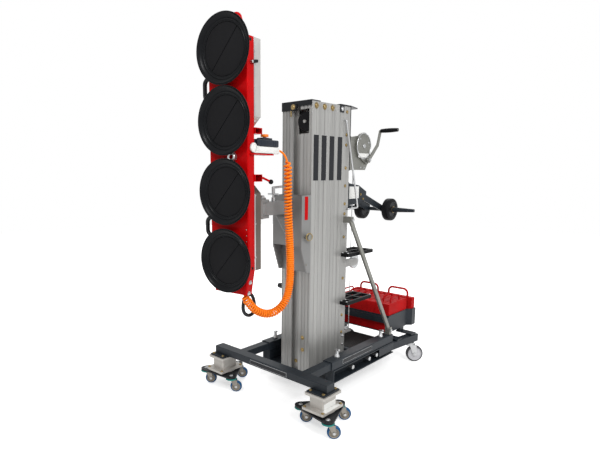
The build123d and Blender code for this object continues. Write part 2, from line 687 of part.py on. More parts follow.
with BuildPart() as idler_pulley:
    with BuildSketch(front_plane(IDLER_Y, 0, IDLER_Z)):
        with BuildLine():
            Polyline(
                (-IDLER_W / 2, IDLER_PIN_R + RUN_GAP),
                (IDLER_W / 2, IDLER_PIN_R + RUN_GAP),
                (IDLER_W / 2, IDLER_R + 5),
                (CABLE_R + 1, IDLER_R - 0.5),
                (-CABLE_R - 1, IDLER_R - 0.5),
                (-IDLER_W / 2, IDLER_R + 5),
                close=True,
            )
        make_face()
    revolve(axis=Axis((0, IDLER_Y, IDLER_Z), (1, 0, 0)))
save(idler_pulley.part, "idler_pulley")

# Winch bracket: a plate behind the rear rails with a hood over the mast's top and an ear on each side
HOOD_T = 6.0
HOOD_REACH = 100.0
HOOD_TIP_W = 150.0
EAR_T = 4.0
EAR_L = 34.0
EAR_H = 36.0
WINCH_PLATE_T = 8.0
WINCH_PLATE_W = MAST_W
WINCH_PLATE_H = 345.0
WINCH_PLATE_Y = REAR_RAIL_BACK_Y + WINCH_PLATE_T
with BuildPart() as winch_bracket:
    with BuildSketch(flat_plane(MAST_TOP_Z)):
        with BuildLine():
            Polyline(
                (-MAST_W / 2 - EAR_T, MAST_REAR_Y - EAR_L),
                (MAST_W / 2 + EAR_T, MAST_REAR_Y - EAR_L),
                (MAST_W / 2 + EAR_T, REAR_RAIL_BACK_Y),
                (HOOD_TIP_W / 2, WINCH_PLATE_Y + HOOD_REACH),
                (-HOOD_TIP_W / 2, WINCH_PLATE_Y + HOOD_REACH),
                (-MAST_W / 2 - EAR_T, REAR_RAIL_BACK_Y),
                close=True,
            )
        make_face()
    extrude(amount=HOOD_T)
    for side in SIDES.values():
        with BuildSketch(side_plane(side * MAST_W / 2, MAST_REAR_Y - EAR_L / 2, MAST_TOP_Z - EAR_H / 2)):
            Rectangle(EAR_L, EAR_H)
        extrude(amount=side * EAR_T)
    with BuildSketch(front_plane(WINCH_PLATE_Y, 0, MAST_TOP_Z - WINCH_PLATE_H / 2)):
        Rectangle(WINCH_PLATE_W, WINCH_PLATE_H)
    extrude(amount=WINCH_PLATE_T)
save(winch_bracket.part, "winch_bracket")

# Winch frame: two side plates on a base plate, and a shell over the gears on the left
DRUM_R = 22.0
DRUM_FLANGE_R = 46.0
DRUM_SHAFT_R = 10.0
GEAR_R = 72.0
PINION_R = 17.5
GEAR_W = 8.0
MESH_GAP = 0.5
WINCH_HALF_W = 40.0
WINCH_WALL = 4.0
COVER_WALL = 2.5
COVER_GAP = 4.0
PINION_TURN = -65.0
CRANK_SHAFT_R = 9.0
DRUM_Y = CABLE_Y + CABLE_R + 0.3 + DRUM_R
DRUM_Z = 1377.0
WINCH_BOTTOM_Z = 1237.0
GEAR_SPAN = GEAR_R + PINION_R + MESH_GAP
PINION_Y = DRUM_Y + GEAR_SPAN * cos(radians(PINION_TURN))
PINION_Z = DRUM_Z + GEAR_SPAN * sin(radians(PINION_TURN))
GEAR_X = WINCH_HALF_W + WINCH_WALL + SIDE_PLAY
COVER_OUT_X = GEAR_X + GEAR_W + SIDE_PLAY + COVER_WALL
BASE_Y = WINCH_PLATE_Y + WINCH_WALL


def draw_winch_side():
    """Side plate outline, in rear and up: a foot on the base plate and a round end about each axis."""
    Polygon(
        (WINCH_PLATE_Y, WINCH_BOTTOM_Z),
        (PINION_Y, WINCH_BOTTOM_Z),
        (PINION_Y + 2.2 * PINION_R, PINION_Z),
        (DRUM_Y + 0.9 * GEAR_R, DRUM_Z),
        (DRUM_Y, DRUM_Z + 0.9 * GEAR_R),
        (WINCH_PLATE_Y, DRUM_Z + 0.5 * GEAR_R),
        align=None,
    )


def draw_gear_cover(shrink):
    with Locations((DRUM_Y, DRUM_Z)):
        Circle(GEAR_R + COVER_GAP + COVER_WALL - shrink)
    with Locations((PINION_Y, PINION_Z)):
        Circle(PINION_R + COVER_GAP + COVER_WALL - shrink)
    make_hull()


with BuildPart() as winch_frame:
    for side in SIDES.values():
        with BuildSketch(side_plane(side * WINCH_HALF_W)):
            draw_winch_side()
        extrude(amount=side * WINCH_WALL)
    with BuildSketch(front_plane(BASE_Y, 0, (WINCH_BOTTOM_Z + DRUM_Z) / 2)):
        Rectangle(2 * (WINCH_HALF_W + WINCH_WALL), DRUM_Z - WINCH_BOTTOM_Z)
    extrude(amount=WINCH_WALL)
    with BuildSketch(side_plane(WINCH_HALF_W + WINCH_WALL)):
        draw_gear_cover(0)
    extrude(amount=COVER_OUT_X - WINCH_HALF_W - WINCH_WALL)
    with BuildSketch(side_plane(WINCH_HALF_W + WINCH_WALL)):
        draw_gear_cover(COVER_WALL)
    extrude(amount=COVER_OUT_X - WINCH_HALF_W - WINCH_WALL - COVER_WALL, mode=Mode.SUBTRACT)
    with BuildSketch(side_plane(-WINCH_HALF_W - 2 * WINCH_WALL)):
        with Locations((DRUM_Y, DRUM_Z)):
            Circle(DRUM_SHAFT_R + RUN_GAP)
        with Locations((PINION_Y, PINION_Z)):
            Circle(CRANK_SHAFT_R + RUN_GAP)
    extrude(amount=COVER_OUT_X + WINCH_HALF_W + 4 * WINCH_WALL, mode=Mode.SUBTRACT)
save(winch_frame.part, "winch_frame")

with BuildPart() as winch_drum:
    drum_half = WINCH_HALF_W - SIDE_PLAY
    with BuildSketch(side_plane(-WINCH_HALF_W - WINCH_WALL, DRUM_Y, DRUM_Z)):
        Circle(DRUM_SHAFT_R)
    extrude(amount=COVER_OUT_X + WINCH_HALF_W + WINCH_WALL)
    with BuildSketch(side_plane(-drum_half, DRUM_Y, DRUM_Z)):
        Circle(DRUM_R)
    extrude(amount=2 * drum_half)
    for x in (-drum_half, drum_half - WINCH_WALL):
        with BuildSketch(side_plane(x, DRUM_Y, DRUM_Z)):
            Circle(DRUM_FLANGE_R)
        extrude(amount=WINCH_WALL)
    with BuildSketch(side_plane(GEAR_X, DRUM_Y, DRUM_Z)):
        Circle(GEAR_R)
    extrude(amount=GEAR_W)
save(winch_drum.part, "winch_drum")

# Crank: pinion shaft, a bent flat arm and the grip's spindle
ARM_W = 20.0
ARM_T = 8.0
CRANK_BEND = (95.0, 92.0)
CRANK_END = (122.0, 178.0)
GRIP_R = 13.0
GRIP_L = 115.0
SPINDLE_R = 6.0
CRANK_ARM_X = COVER_OUT_X + 8.0
GRIP_Y = PINION_Y + CRANK_END[0]
GRIP_Z = PINION_Z + CRANK_END[1]
GRIP_X = CRANK_ARM_X + ARM_T + SIDE_PLAY
with BuildPart() as crank:
    with BuildSketch(side_plane(-WINCH_HALF_W - WINCH_WALL, PINION_Y, PINION_Z)):
        Circle(CRANK_SHAFT_R)
    extrude(amount=CRANK_ARM_X + ARM_T + WINCH_HALF_W + WINCH_WALL)
    with BuildSketch(side_plane(GEAR_X, PINION_Y, PINION_Z)):
        Circle(PINION_R)
    extrude(amount=GEAR_W)
    with BuildSketch(side_plane(CRANK_ARM_X, PINION_Y, PINION_Z)):
        with BuildLine() as arm_line:
            Polyline((0, 0), CRANK_BEND, CRANK_END)
        trace(line_width=ARM_W)
        Circle(0.8 * ARM_W)
    extrude(amount=ARM_T)
    with BuildSketch(side_plane(CRANK_ARM_X, GRIP_Y, GRIP_Z)):
        Circle(SPINDLE_R)
    extrude(amount=ARM_T + GRIP_L)
save(crank.part, "crank")

with BuildPart() as crank_grip:
    with BuildSketch(front_plane(GRIP_Y, 0, GRIP_Z)):
        with BuildLine():
            Line((GRIP_X, SPINDLE_R + RUN_GAP), (GRIP_X, GRIP_R - 2))
            Spline((GRIP_X, GRIP_R - 2), (GRIP_X + GRIP_L / 2, GRIP_R), (GRIP_X + GRIP_L, GRIP_R - 3))
            Line((GRIP_X + GRIP_L, GRIP_R - 3), (GRIP_X + GRIP_L, SPINDLE_R + RUN_GAP))
            Line((GRIP_X + GRIP_L, SPINDLE_R + RUN_GAP), (GRIP_X, SPINDLE_R + RUN_GAP))
        make_face()
    revolve(axis=Axis((0, GRIP_Y, GRIP_Z), (1, 0, 0)))
save(crank_grip.part, "crank_grip")

# Lift cable: straight from the drum's front side, past the idler, to the anchor
with BuildPart() as lift_cable:
    with BuildSketch(flat_plane(ANCHOR_Z, 0, CABLE_Y)):
        Circle(CABLE_R)
    extrude(amount=DRUM_Z - ANCHOR_Z)
save(lift_cable.part, "lift_cable")

# Loading bracket: plates behind the rear rails, two arms and a dead axle with tapered hand grips
LOAD_PLATE_X = 58.0
LOAD_PLATE_T = 5.0
LOAD_ARM_T = 8.0
LOAD_ARM_W = 38.0
LOAD_GAP = 63.0  # below the winch plate
LOAD_H = 142.0
LOAD_PLATE_REACH = 166.0
LOAD_AXLE_R = 12.0
LOAD_AXLE_Y = 573.0
LOAD_AXLE_DROP = 37.0
LOAD_WHEEL_R = 70.0
LOAD_WHEEL_W = 50.0
LOAD_GRIP_L = 140.0
LOAD_Z1 = MAST_TOP_Z - WINCH_PLATE_H - LOAD_GAP
LOAD_Z0 = LOAD_Z1 - LOAD_H
LOAD_AXLE_Z = LOAD_Z0 - LOAD_AXLE_DROP
LOAD_BACK_Y = REAR_RAIL_BACK_Y + LOAD_PLATE_T
LOAD_ARM_X = LOAD_PLATE_X - LOAD_ARM_T
LOAD_WHEEL_X = LOAD_PLATE_X + LOAD_PLATE_T + LOAD_WHEEL_W / 2 + 14.0
LOAD_GRIP_X = LOAD_WHEEL_X + LOAD_WHEEL_W / 2 + 3.0
with BuildPart() as loading_bracket:
    with BuildSketch(front_plane(LOAD_BACK_Y, 0, (LOAD_Z0 + LOAD_Z1) / 2)):
        Rectangle(MAST_W, LOAD_Z1 - LOAD_Z0)
    extrude(amount=LOAD_PLATE_T)
    for side in SIDES.values():
        with BuildSketch(side_plane(side * LOAD_PLATE_X)):
            with BuildLine():
                Polyline(
                    (REAR_RAIL_BACK_Y, LOAD_Z0),
                    (REAR_RAIL_BACK_Y + LOAD_PLATE_REACH, LOAD_Z0 + 14),
                    (REAR_RAIL_BACK_Y + 1.5 * LOAD_PLATE_REACH, LOAD_Z0 + 32),
                    (REAR_RAIL_BACK_Y + 1.5 * LOAD_PLATE_REACH, LOAD_Z1 - 60),
                    (REAR_RAIL_BACK_Y + LOAD_PLATE_REACH, LOAD_Z1 - 22),
                    (REAR_RAIL_BACK_Y, LOAD_Z1),
                    close=True,
                )
            make_face()
        extrude(amount=side * LOAD_PLATE_T)
        with BuildSketch(side_plane(side * LOAD_ARM_X)):
            with BuildLine():
                Polyline(
                    (REAR_RAIL_BACK_Y + 0.6 * LOAD_PLATE_REACH, (LOAD_Z0 + LOAD_Z1) / 2),
                    (REAR_RAIL_BACK_Y + 1.3 * LOAD_PLATE_REACH, (LOAD_Z0 + LOAD_Z1) / 2 - 16),
                    (LOAD_AXLE_Y, LOAD_AXLE_Z),
                )
            trace(line_width=LOAD_ARM_W)
            with Locations((LOAD_AXLE_Y, LOAD_AXLE_Z)):
                Circle(LOAD_ARM_W / 2)
        extrude(amount=side * LOAD_ARM_T)
        with BuildSketch(front_plane(LOAD_AXLE_Y, 0, LOAD_AXLE_Z)):
            with BuildLine():
                Polyline(
                    (0, 0),
                    (side * (LOAD_GRIP_X + LOAD_GRIP_L), 0),
                    (side * (LOAD_GRIP_X + LOAD_GRIP_L), 0.8 * LOAD_AXLE_R),
                    (side * (LOAD_GRIP_X + 0.8 * LOAD_GRIP_L), LOAD_AXLE_R - 1),
                    (side * LOAD_GRIP_X, 1.35 * LOAD_AXLE_R),
                    (side * LOAD_GRIP_X, LOAD_AXLE_R),
                    (0, LOAD_AXLE_R),
                    close=True,
                )
            make_face()
        revolve(axis=Axis((0, LOAD_AXLE_Y, LOAD_AXLE_Z), (1, 0, 0)))
save(loading_bracket.part, "loading_bracket")

for name, side in SIDES.items():
    wheel = make_wheel(
        Vector(side * LOAD_WHEEL_X, LOAD_AXLE_Y, LOAD_AXLE_Z),
        Vector(1, 0, 0),
        LOAD_WHEEL_R,
        LOAD_WHEEL_W,
        LOAD_AXLE_R + RUN_GAP,
        12.0,
    )
    save(wheel, "loading_wheel_" + name)

# Steps: two grid treads on the left, notched round the rear rail's corner
STEP_OUT = 50.0
STEP_IN_X = 12.0
STEP_FRONT_Y = 49.0
STEP_BACK_Y = 309.0
STEP_T = 20.0
STEP_RIB = 13.0
STEP_TOPS = (770.0, 488.0)
step_solids = []
for top in STEP_TOPS:
    out_x = MAST_W / 2 + STEP_OUT
    with BuildPart() as tread:
        with BuildSketch(flat_plane(top - STEP_T)):
            with BuildLine():
                Polyline(
                    (MAST_W / 2, STEP_FRONT_Y),
                    (out_x, STEP_FRONT_Y),
                    (out_x, STEP_BACK_Y),
                    (STEP_IN_X, STEP_BACK_Y),
                    (STEP_IN_X, REAR_RAIL_BACK_Y),
                    (MAST_W / 2, REAR_RAIL_BACK_Y),
                    close=True,
                )
            make_face()
            cell_w = (out_x - STEP_IN_X - 3 * STEP_RIB) / 2
            cell_d = (STEP_BACK_Y - REAR_RAIL_BACK_Y - 3 * STEP_RIB) / 2
            for i in range(2):
                for j in range(2):
                    cell_x = STEP_IN_X + STEP_RIB + cell_w / 2 + i * (cell_w + STEP_RIB)
                    cell_y = REAR_RAIL_BACK_Y + STEP_RIB + cell_d / 2 + j * (cell_d + STEP_RIB)
                    with Locations((cell_x, cell_y)):
                        RectangleRounded(cell_w, cell_d, 6, mode=Mode.SUBTRACT)
            with Locations((out_x - STEP_OUT / 2, (STEP_FRONT_Y + REAR_RAIL_BACK_Y) / 2)):
                RectangleRounded(
                    STEP_OUT - 2 * STEP_RIB,
                    REAR_RAIL_BACK_Y - STEP_FRONT_Y - STEP_RIB,
                    6,
                    mode=Mode.SUBTRACT,
                )
        extrude(amount=STEP_T)
    step_solids.append(tread.part)
group(step_solids, "steps")

# Braces: one tube each side from the rear rail down to the sleeve's rear end, with a block at each end
BRACE_R = 13.0
BRACE_TOP = (MAST_W / 2 + 40.0, 75.0, 960.0)
BRACE_FOOT = (232.0, 388.0, 268.0)
BRACE_BLOCK = 26.0
brace_solids = []
for side in SIDES.values():
    top = Vector(side * BRACE_TOP[0], BRACE_TOP[1], BRACE_TOP[2])
    foot = Vector(side * BRACE_FOOT[0], BRACE_FOOT[1], BRACE_FOOT[2])
    with BuildPart() as brace:
        with BuildSketch(Plane(origin=top, z_dir=foot - top)):
            Circle(BRACE_R)
        extrude(amount=(foot - top).length)
        reach = BRACE_TOP[0] + BRACE_R - MAST_W / 2
        with BuildSketch(side_plane(side * MAST_W / 2, BRACE_TOP[1], BRACE_TOP[2])):
            Rectangle(BRACE_BLOCK, 1.3 * BRACE_BLOCK)
        extrude(amount=side * reach)
        with BuildSketch(flat_plane(SLEEVE_TOP_Z, side * BRACE_FOOT[0], BRACE_FOOT[1])):
            Rectangle(1.3 * BRACE_BLOCK, BRACE_BLOCK)
        extrude(amount=BRACE_FOOT[2] + BRACE_R - SLEEVE_TOP_Z)
    brace_solids.append(brace.part)
group(brace_solids, "braces")

# Grab rod: a bent rod standing off the left rear rail
ROD_R = 5.0
ROD_X = MAST_W / 2 + 14.0
ROD_TOP_Z = 1500.0
ROD_LOW_Z = 1018.0
ROD_OUT_Y = 184.0
ROD_TOP_Y = MAST_REAR_Y + 8.0
ROD_LOW_Y = REAR_RAIL_BACK_Y - 12.0
with BuildPart() as grab_rod:
    with BuildLine() as rod_line:
        FilletPolyline(
            (MAST_W / 2, ROD_TOP_Y, ROD_TOP_Z),
            (ROD_X, ROD_TOP_Y, ROD_TOP_Z),
            (ROD_X, ROD_OUT_Y, ROD_LOW_Z + 6),
            (ROD_X, ROD_LOW_Y, ROD_LOW_Z),
            (MAST_W / 2, ROD_LOW_Y, ROD_LOW_Z),
            radius=6.2,
        )
    with BuildSketch(Plane(origin=(MAST_W / 2, ROD_TOP_Y, ROD_TOP_Z), z_dir=(1, 0, 0))):
        Circle(ROD_R)
    sweep(path=rod_line.line)
save(grab_rod.part, "grab_rod")

# Weight tray: an open tray flared at the rear, on four feet that stand on the rear tubes
TRAY_HALF_W = 207.0
TRAY_FLARE = 25.0
TRAY_FRONT_Y = 436.0
TRAY_STEP_Y = 672.0
TRAY_BACK_Y = 743.0
TRAY_WALL = 5.0
TRAY_FLOOR_Z = 222.0
TRAY_RIM_Z = 333.0
TRAY_BAR = (20.0, 38.0)
TRAY_BAR_Z = 306.0
FOOT_YS = (470.0, 630.0)
FOOT_L = 60.0
FOOT_T = 6.0
REAR_TUBE_TOP_Z = REAR_TUBE_Z + REAR_TUBE / 2


def rear_tube_x(y):
    """Middle of the left rear tube at a distance along it."""
    return REAR_TUBE_X + (y - REAR_TUBE_FRONT_Y) * REAR_TUBE_SPLAY / REAR_TUBE_LEN


def tray_corners(shrink):
    half = TRAY_HALF_W - shrink
    wide = TRAY_HALF_W + TRAY_FLARE - shrink
    right = [
        (half, TRAY_FRONT_Y + shrink),
        (half, TRAY_STEP_Y + 0.4 * shrink),
        (wide, TRAY_STEP_Y + TRAY_FLARE + 0.4 * shrink),
        (wide, TRAY_BACK_Y - shrink),
    ]
    return right + [(-x, y) for x, y in reversed(right)]


with BuildPart() as weight_tray:
    with BuildSketch(flat_plane(TRAY_FLOOR_Z)):
        Polygon(*tray_corners(0), align=None)
    extrude(amount=TRAY_RIM_Z - TRAY_FLOOR_Z)
    with BuildSketch(flat_plane(TRAY_FLOOR_Z + TRAY_WALL)):
        Polygon(*tray_corners(TRAY_WALL), align=None)
    extrude(amount=TRAY_RIM_Z - TRAY_FLOOR_Z, mode=Mode.SUBTRACT)
    window_h = TRAY_BAR_Z - TRAY_BAR[1] / 2 - TRAY_FLOOR_Z - TRAY_WALL
    with BuildSketch(front_plane(TRAY_FRONT_Y, 0, TRAY_FLOOR_Z + TRAY_WALL + window_h / 2)):
        Rectangle(2 * (TRAY_HALF_W - 3 * TRAY_WALL), window_h)
    extrude(amount=-TRAY_WALL, mode=Mode.SUBTRACT)
    with BuildSketch(front_plane(TRAY_FRONT_Y, 0, TRAY_BAR_Z)):
        Rectangle(2 * TRAY_HALF_W, TRAY_BAR[1])
    extrude(amount=TRAY_BAR[0])
    for y in FOOT_YS:
        for side in SIDES.values():
            tube_x = rear_tube_x(y)
            inner_x = TRAY_HALF_W - 37
            outer_x = tube_x + 20
            with BuildSketch(flat_plane(REAR_TUBE_TOP_Z, side * tube_x, y)):
                Rectangle(30, 0.8 * FOOT_L)
            extrude(amount=FOOT_T)
            with BuildSketch(flat_plane(REAR_TUBE_TOP_Z + FOOT_T, side * (inner_x + outer_x) / 2, y)):
                Rectangle(outer_x - inner_x, FOOT_L)
            extrude(amount=FOOT_T)
            with BuildSketch(flat_plane(REAR_TUBE_TOP_Z + 2 * FOOT_T, side * (inner_x + 15), y)):
                Rectangle(26, 0.8 * FOOT_L)
            extrude(amount=TRAY_FLOOR_Z - REAR_TUBE_TOP_Z - 2 * FOOT_T)
save(weight_tray.part, "weight_tray")

# Counterweights: upright slabs side by side, and one slab across behind them, each with a carrying loop
SLAB_COUNT = 8
SLAB_GAP = 0.8
SLAB_TOP_Z = 405.0
SLAB_EDGE = 4.0
SLAB_LOOP_R = 5.0
SLAB_LOOP_RISE = 36.0
BACK_SLAB_T = 40.0
BACK_LOOP_R = 7.0
BACK_LOOP_RISE = 52.0


def make_loop(start, along, span, rise, rod_r):
    """Carrying loop: a rod up from a slab's top, across and down again."""
    first = Vector(*start)
    last = first + Vector(*along) * span
    up = Vector(0, 0, rise)
    with BuildPart() as loop:
        with BuildLine() as loop_line:
            FilletPolyline(first, first + up, last + up, last, radius=min(0.3 * span, 0.6 * rise))
        with BuildSketch(Plane(origin=first, z_dir=(0, 0, 1))):
            Circle(rod_r)
        sweep(path=loop_line.line)
    return loop.part


slab_room = 2 * (TRAY_HALF_W - TRAY_WALL)
slab_w = (slab_room - (SLAB_COUNT + 1) * SLAB_GAP) / SLAB_COUNT
slab_y0 = TRAY_FRONT_Y + TRAY_WALL + SLAB_GAP
slab_y1 = TRAY_STEP_Y
slab_z0 = TRAY_FLOOR_Z + TRAY_WALL
weight_solids = []
for i in range(SLAB_COUNT):
    slab_x = -slab_room / 2 + SLAB_GAP + slab_w / 2 + i * (slab_w + SLAB_GAP)
    with BuildPart() as slab:
        with BuildSketch(flat_plane(slab_z0, slab_x, (slab_y0 + slab_y1) / 2)):
            Rectangle(slab_w, slab_y1 - slab_y0)
        extrude(amount=SLAB_TOP_Z - slab_z0)
        fillet(slab.faces().sort_by(Axis.Z)[-1].edges(), SLAB_EDGE)
        add(make_loop((slab_x, (slab_y0 + slab_y1) / 2 - 55, SLAB_TOP_Z - 3), (0, 1, 0), 110, SLAB_LOOP_RISE, SLAB_LOOP_R))
    weight_solids.append(slab.part)
back_half = TRAY_HALF_W + TRAY_FLARE - TRAY_WALL - 4 * SLAB_GAP
back_y = TRAY_BACK_Y - TRAY_WALL - SLAB_GAP - BACK_SLAB_T / 2
with BuildPart() as back_slab:
    with BuildSketch(flat_plane(slab_z0, 0, back_y)):
        Rectangle(2 * back_half, BACK_SLAB_T)
    extrude(amount=SLAB_TOP_Z - slab_z0)
    fillet(back_slab.faces().sort_by(Axis.Z)[-1].edges(), SLAB_EDGE)
    for side in SIDES.values():
        add(make_loop((side * 0.5 * back_half - 70, back_y, SLAB_TOP_Z - 3), (1, 0, 0), 140, BACK_LOOP_RISE, BACK_LOOP_R))
weight_solids.append(back_slab.part)
group(weight_solids, "counterweights")

# Carriage: a welded box on the front section's slot, with the arm that carries the head
CARRIAGE_PLATE_T = 8.0
CARRIAGE_DEPTH = 72.0
CARRIAGE_LOW_Z = 698.0
CARRIAGE_TOP_Z = 1106.0
FACE_LOW_Z = 842.0
FACE_T = 10.0
ARM_BOX_W = 66.0
ARM_BOX_H = 65.0
ARM_Z = 1045.0
ARM_PIVOT_Y = -500.0
ARM_PIVOT_R = 12.0
CLAMP_STUD_R = 6.0
CLAMP_STUD_Y = -412.0
HEAD_SWING = 8.0  # degrees, head to the left
HEIGHT_PIN_R = 7.0
HEIGHT_PIN_Z = 891.0
carriage_rear_y = MAST_FRONT_Y - SLIDE_GAP
carriage_front_y = carriage_rear_y - CARRIAGE_DEPTH
HEIGHT_PIN_Y = (carriage_rear_y + carriage_front_y) / 2
LIP_T = SLOT_DEPTH - TONGUE_T - 8.0
with BuildPart() as carriage:
    for side in SIDES.values():
        with BuildSketch(side_plane(side * (MAST_W / 2 - CARRIAGE_PLATE_T))):
            with BuildLine():
                Polyline(
                    (carriage_rear_y, CARRIAGE_LOW_Z),
                    (carriage_rear_y, CARRIAGE_TOP_Z),
                    (carriage_front_y, CARRIAGE_TOP_Z),
                    (carriage_front_y, FACE_LOW_Z - 10),
                    (carriage_rear_y - 26, CARRIAGE_LOW_Z),
                    close=True,
                )
            make_face()
        extrude(amount=side * CARRIAGE_PLATE_T)
    with BuildSketch(front_plane(carriage_rear_y, 0, (CARRIAGE_LOW_Z + CARRIAGE_TOP_Z) / 2)):
        Rectangle(MAST_W, CARRIAGE_TOP_Z - CARRIAGE_LOW_Z)
    extrude(amount=CARRIAGE_PLATE_T)
    with BuildSketch(front_plane(carriage_front_y + FACE_T, 0, (FACE_LOW_Z + CARRIAGE_TOP_Z) / 2)):
        Rectangle(MAST_W, CARRIAGE_TOP_Z - FACE_LOW_Z)
    extrude(amount=FACE_T)
    with BuildSketch(flat_plane(CARRIAGE_LOW_Z)):
        neck_d = LIP_T + 2 * SLIDE_GAP
        with Locations((0, carriage_rear_y + neck_d / 2)):
            Rectangle(NECK_W, neck_d)
        with Locations((0, carriage_rear_y + neck_d + TONGUE_T / 2)):
            Rectangle(TONGUE_W, TONGUE_T)
    extrude(amount=CARRIAGE_TOP_Z - CARRIAGE_LOW_Z)
    with BuildSketch(flat_plane(ARM_Z - ARM_BOX_H / 2)):
        with Locations((0, (carriage_front_y + ARM_PIVOT_Y) / 2)):
            Rectangle(ARM_BOX_W, carriage_front_y - ARM_PIVOT_Y)
        with Locations((0, ARM_PIVOT_Y)):
            Circle(ARM_BOX_W / 2)
    extrude(amount=ARM_BOX_H)
    with BuildSketch(side_plane(-CARRIAGE_PLATE_T / 2)):
        with BuildLine():
            Polyline(
                (carriage_front_y, ARM_Z - ARM_BOX_H / 2),
                (carriage_front_y - 90, ARM_Z - ARM_BOX_H / 2),
                (carriage_front_y, FACE_LOW_Z + 40),
                close=True,
            )
        make_face()
    extrude(amount=CARRIAGE_PLATE_T)
    with BuildSketch(flat_plane(ARM_Z - ARM_BOX_H, 0, ARM_PIVOT_Y)):
        Circle(ARM_PIVOT_R + RUN_GAP)
    extrude(amount=2 * ARM_BOX_H, mode=Mode.SUBTRACT)
    with BuildSketch(flat_plane(ARM_Z, 0, CLAMP_STUD_Y)):
        Circle(CLAMP_STUD_R + RUN_GAP)
    extrude(amount=ARM_BOX_H, mode=Mode.SUBTRACT)
    with BuildSketch(side_plane(0, HEIGHT_PIN_Y, HEIGHT_PIN_Z)):
        Circle(HEIGHT_PIN_R + RUN_GAP)
    extrude(amount=MAST_W, mode=Mode.SUBTRACT)
save(carriage.part, "carriage")

# Height pin: a plunger through the carriage's left side plate, with a collar and a knob
with BuildPart() as height_pin:
    with BuildSketch(side_plane(MAST_W / 2 - CARRIAGE_PLATE_T - 12, HEIGHT_PIN_Y, HEIGHT_PIN_Z)):
        Circle(HEIGHT_PIN_R)
    extrude(amount=CARRIAGE_PLATE_T + 12 + 26)
    with BuildSketch(side_plane(MAST_W / 2, HEIGHT_PIN_Y, HEIGHT_PIN_Z)):
        Circle(11)
    extrude(amount=16)
    with BuildSketch(side_plane(MAST_W / 2 + 16, HEIGHT_PIN_Y, HEIGHT_PIN_Z)):
        Circle(15)
    extrude(amount=12)
save(height_pin.part, "height_pin")

# Knuckle: a fork over the arm's end with its pivot pin, a block and the pin the head turns on
FORK_T = 12.0
FORK_W = 78.0
BLOCK_REAR_Y = ARM_PIVOT_Y - ARM_BOX_W / 2 - 4.0
BLOCK_L = 40.0
TURN_PIN_R = 20.0
TURN_FLANGE_R = 54.0
HUB_REAR_Y = -644.0
HUB_R = 60.0
HUB_DEPTH = 78.0
fork_low_z = ARM_Z - ARM_BOX_H / 2 - SIDE_PLAY - FORK_T
fork_h = ARM_BOX_H + 2 * SIDE_PLAY + 2 * FORK_T
block_front_y = BLOCK_REAR_Y - BLOCK_L
with BuildPart() as knuckle:
    for z in (fork_low_z, fork_low_z + fork_h - FORK_T):
        with BuildSketch(flat_plane(z)):
            with Locations((0, (ARM_PIVOT_Y + block_front_y) / 2)):
                Rectangle(FORK_W, ARM_PIVOT_Y - block_front_y)
            with Locations((0, ARM_PIVOT_Y)):
                Circle(FORK_W / 2)
        extrude(amount=FORK_T)
    with BuildSketch(front_plane(BLOCK_REAR_Y, 0, ARM_Z)):
        Rectangle(FORK_W, fork_h)
    extrude(amount=BLOCK_L)
    with BuildSketch(flat_plane(fork_low_z - 6, 0, ARM_PIVOT_Y)):
        Circle(ARM_PIVOT_R)
    extrude(amount=fork_h + 12)
    with BuildSketch(flat_plane(fork_low_z + fork_h, 0, ARM_PIVOT_Y)):
        Circle(2 * ARM_PIVOT_R)
    extrude(amount=8)
    with BuildSketch(front_plane(block_front_y, 0, ARM_Z)):
        Circle(34)
    extrude(amount=block_front_y - HUB_REAR_Y - SIDE_PLAY)
    with BuildSketch(front_plane(HUB_REAR_Y + SIDE_PLAY, 0, ARM_Z)):
        Circle(TURN_FLANGE_R)
    extrude(amount=-14)
    with BuildSketch(front_plane(HUB_REAR_Y + SIDE_PLAY, 0, ARM_Z)):
        Circle(TURN_PIN_R)
    extrude(amount=HUB_DEPTH)
save(swung(knuckle.part), "knuckle")

# Knuckle clamp: a stud in the arm's top with a cross bar
arm_top_z = ARM_Z + ARM_BOX_H / 2
with BuildPart() as knuckle_clamp:
    with BuildSketch(flat_plane(ARM_Z, 0, CLAMP_STUD_Y)):
        Circle(CLAMP_STUD_R)
    extrude(amount=ARM_BOX_H / 2 + 40)
    with BuildSketch(flat_plane(arm_top_z, 0, CLAMP_STUD_Y)):
        Circle(11)
    extrude(amount=20)
    with BuildSketch(side_plane(-34, CLAMP_STUD_Y, arm_top_z + 36)):
        Circle(5)
    extrude(amount=68)
save(knuckle_clamp.part, "knuckle_clamp")

# Head beam: a channel open to the rear with a tapered foot, a loop handle on top, two cross sockets,
# a collared eye, a shelf for the control box and the hub it turns on
BEAM_HALF_W = 110.0
BEAM_FRONT_Y = -745.0
BEAM_REAR_Y = -701.0
BEAM_TOP_Z = 1783.0
BEAM_STRAIGHT_Z = 777.0
BEAM_FOOT_Z = 668.0
BEAM_FOOT_HALF_W = 92.0
BEAM_WALL = 4.0
BEAM_BEND = 6.0
EYE_Z = 1288.0
EYE_R = 10.0
EYE_COLLAR_R = 20.0
EYE_COLLAR_L = 16.0
SOCKET_ZS = (1400.0, 1196.0)
SOCKET_H = (26.0, 32.0)
SOCKET_DEPTH = 52.0
SOCKET_HALF_L = 116.0
SOCKET_WALL = 3.0
SHELF_T = 6.0
SHELF_TOP_Z = 1303.0
SHELF_OUT_X = 122.0
SHELF_BACK_Y = -568.0
LEVER_X = 96.0
LEVER_R = 5.0
HANDLE_R = 11.0
HANDLE_HALF_W = 78.0
HANDLE_TOP_HALF_W = 48.0
HANDLE_TOP_Z = 1877.0
beam_mid_y = (BEAM_FRONT_Y + BEAM_REAR_Y) / 2
socket_rear_y = BEAM_REAR_Y + SOCKET_DEPTH


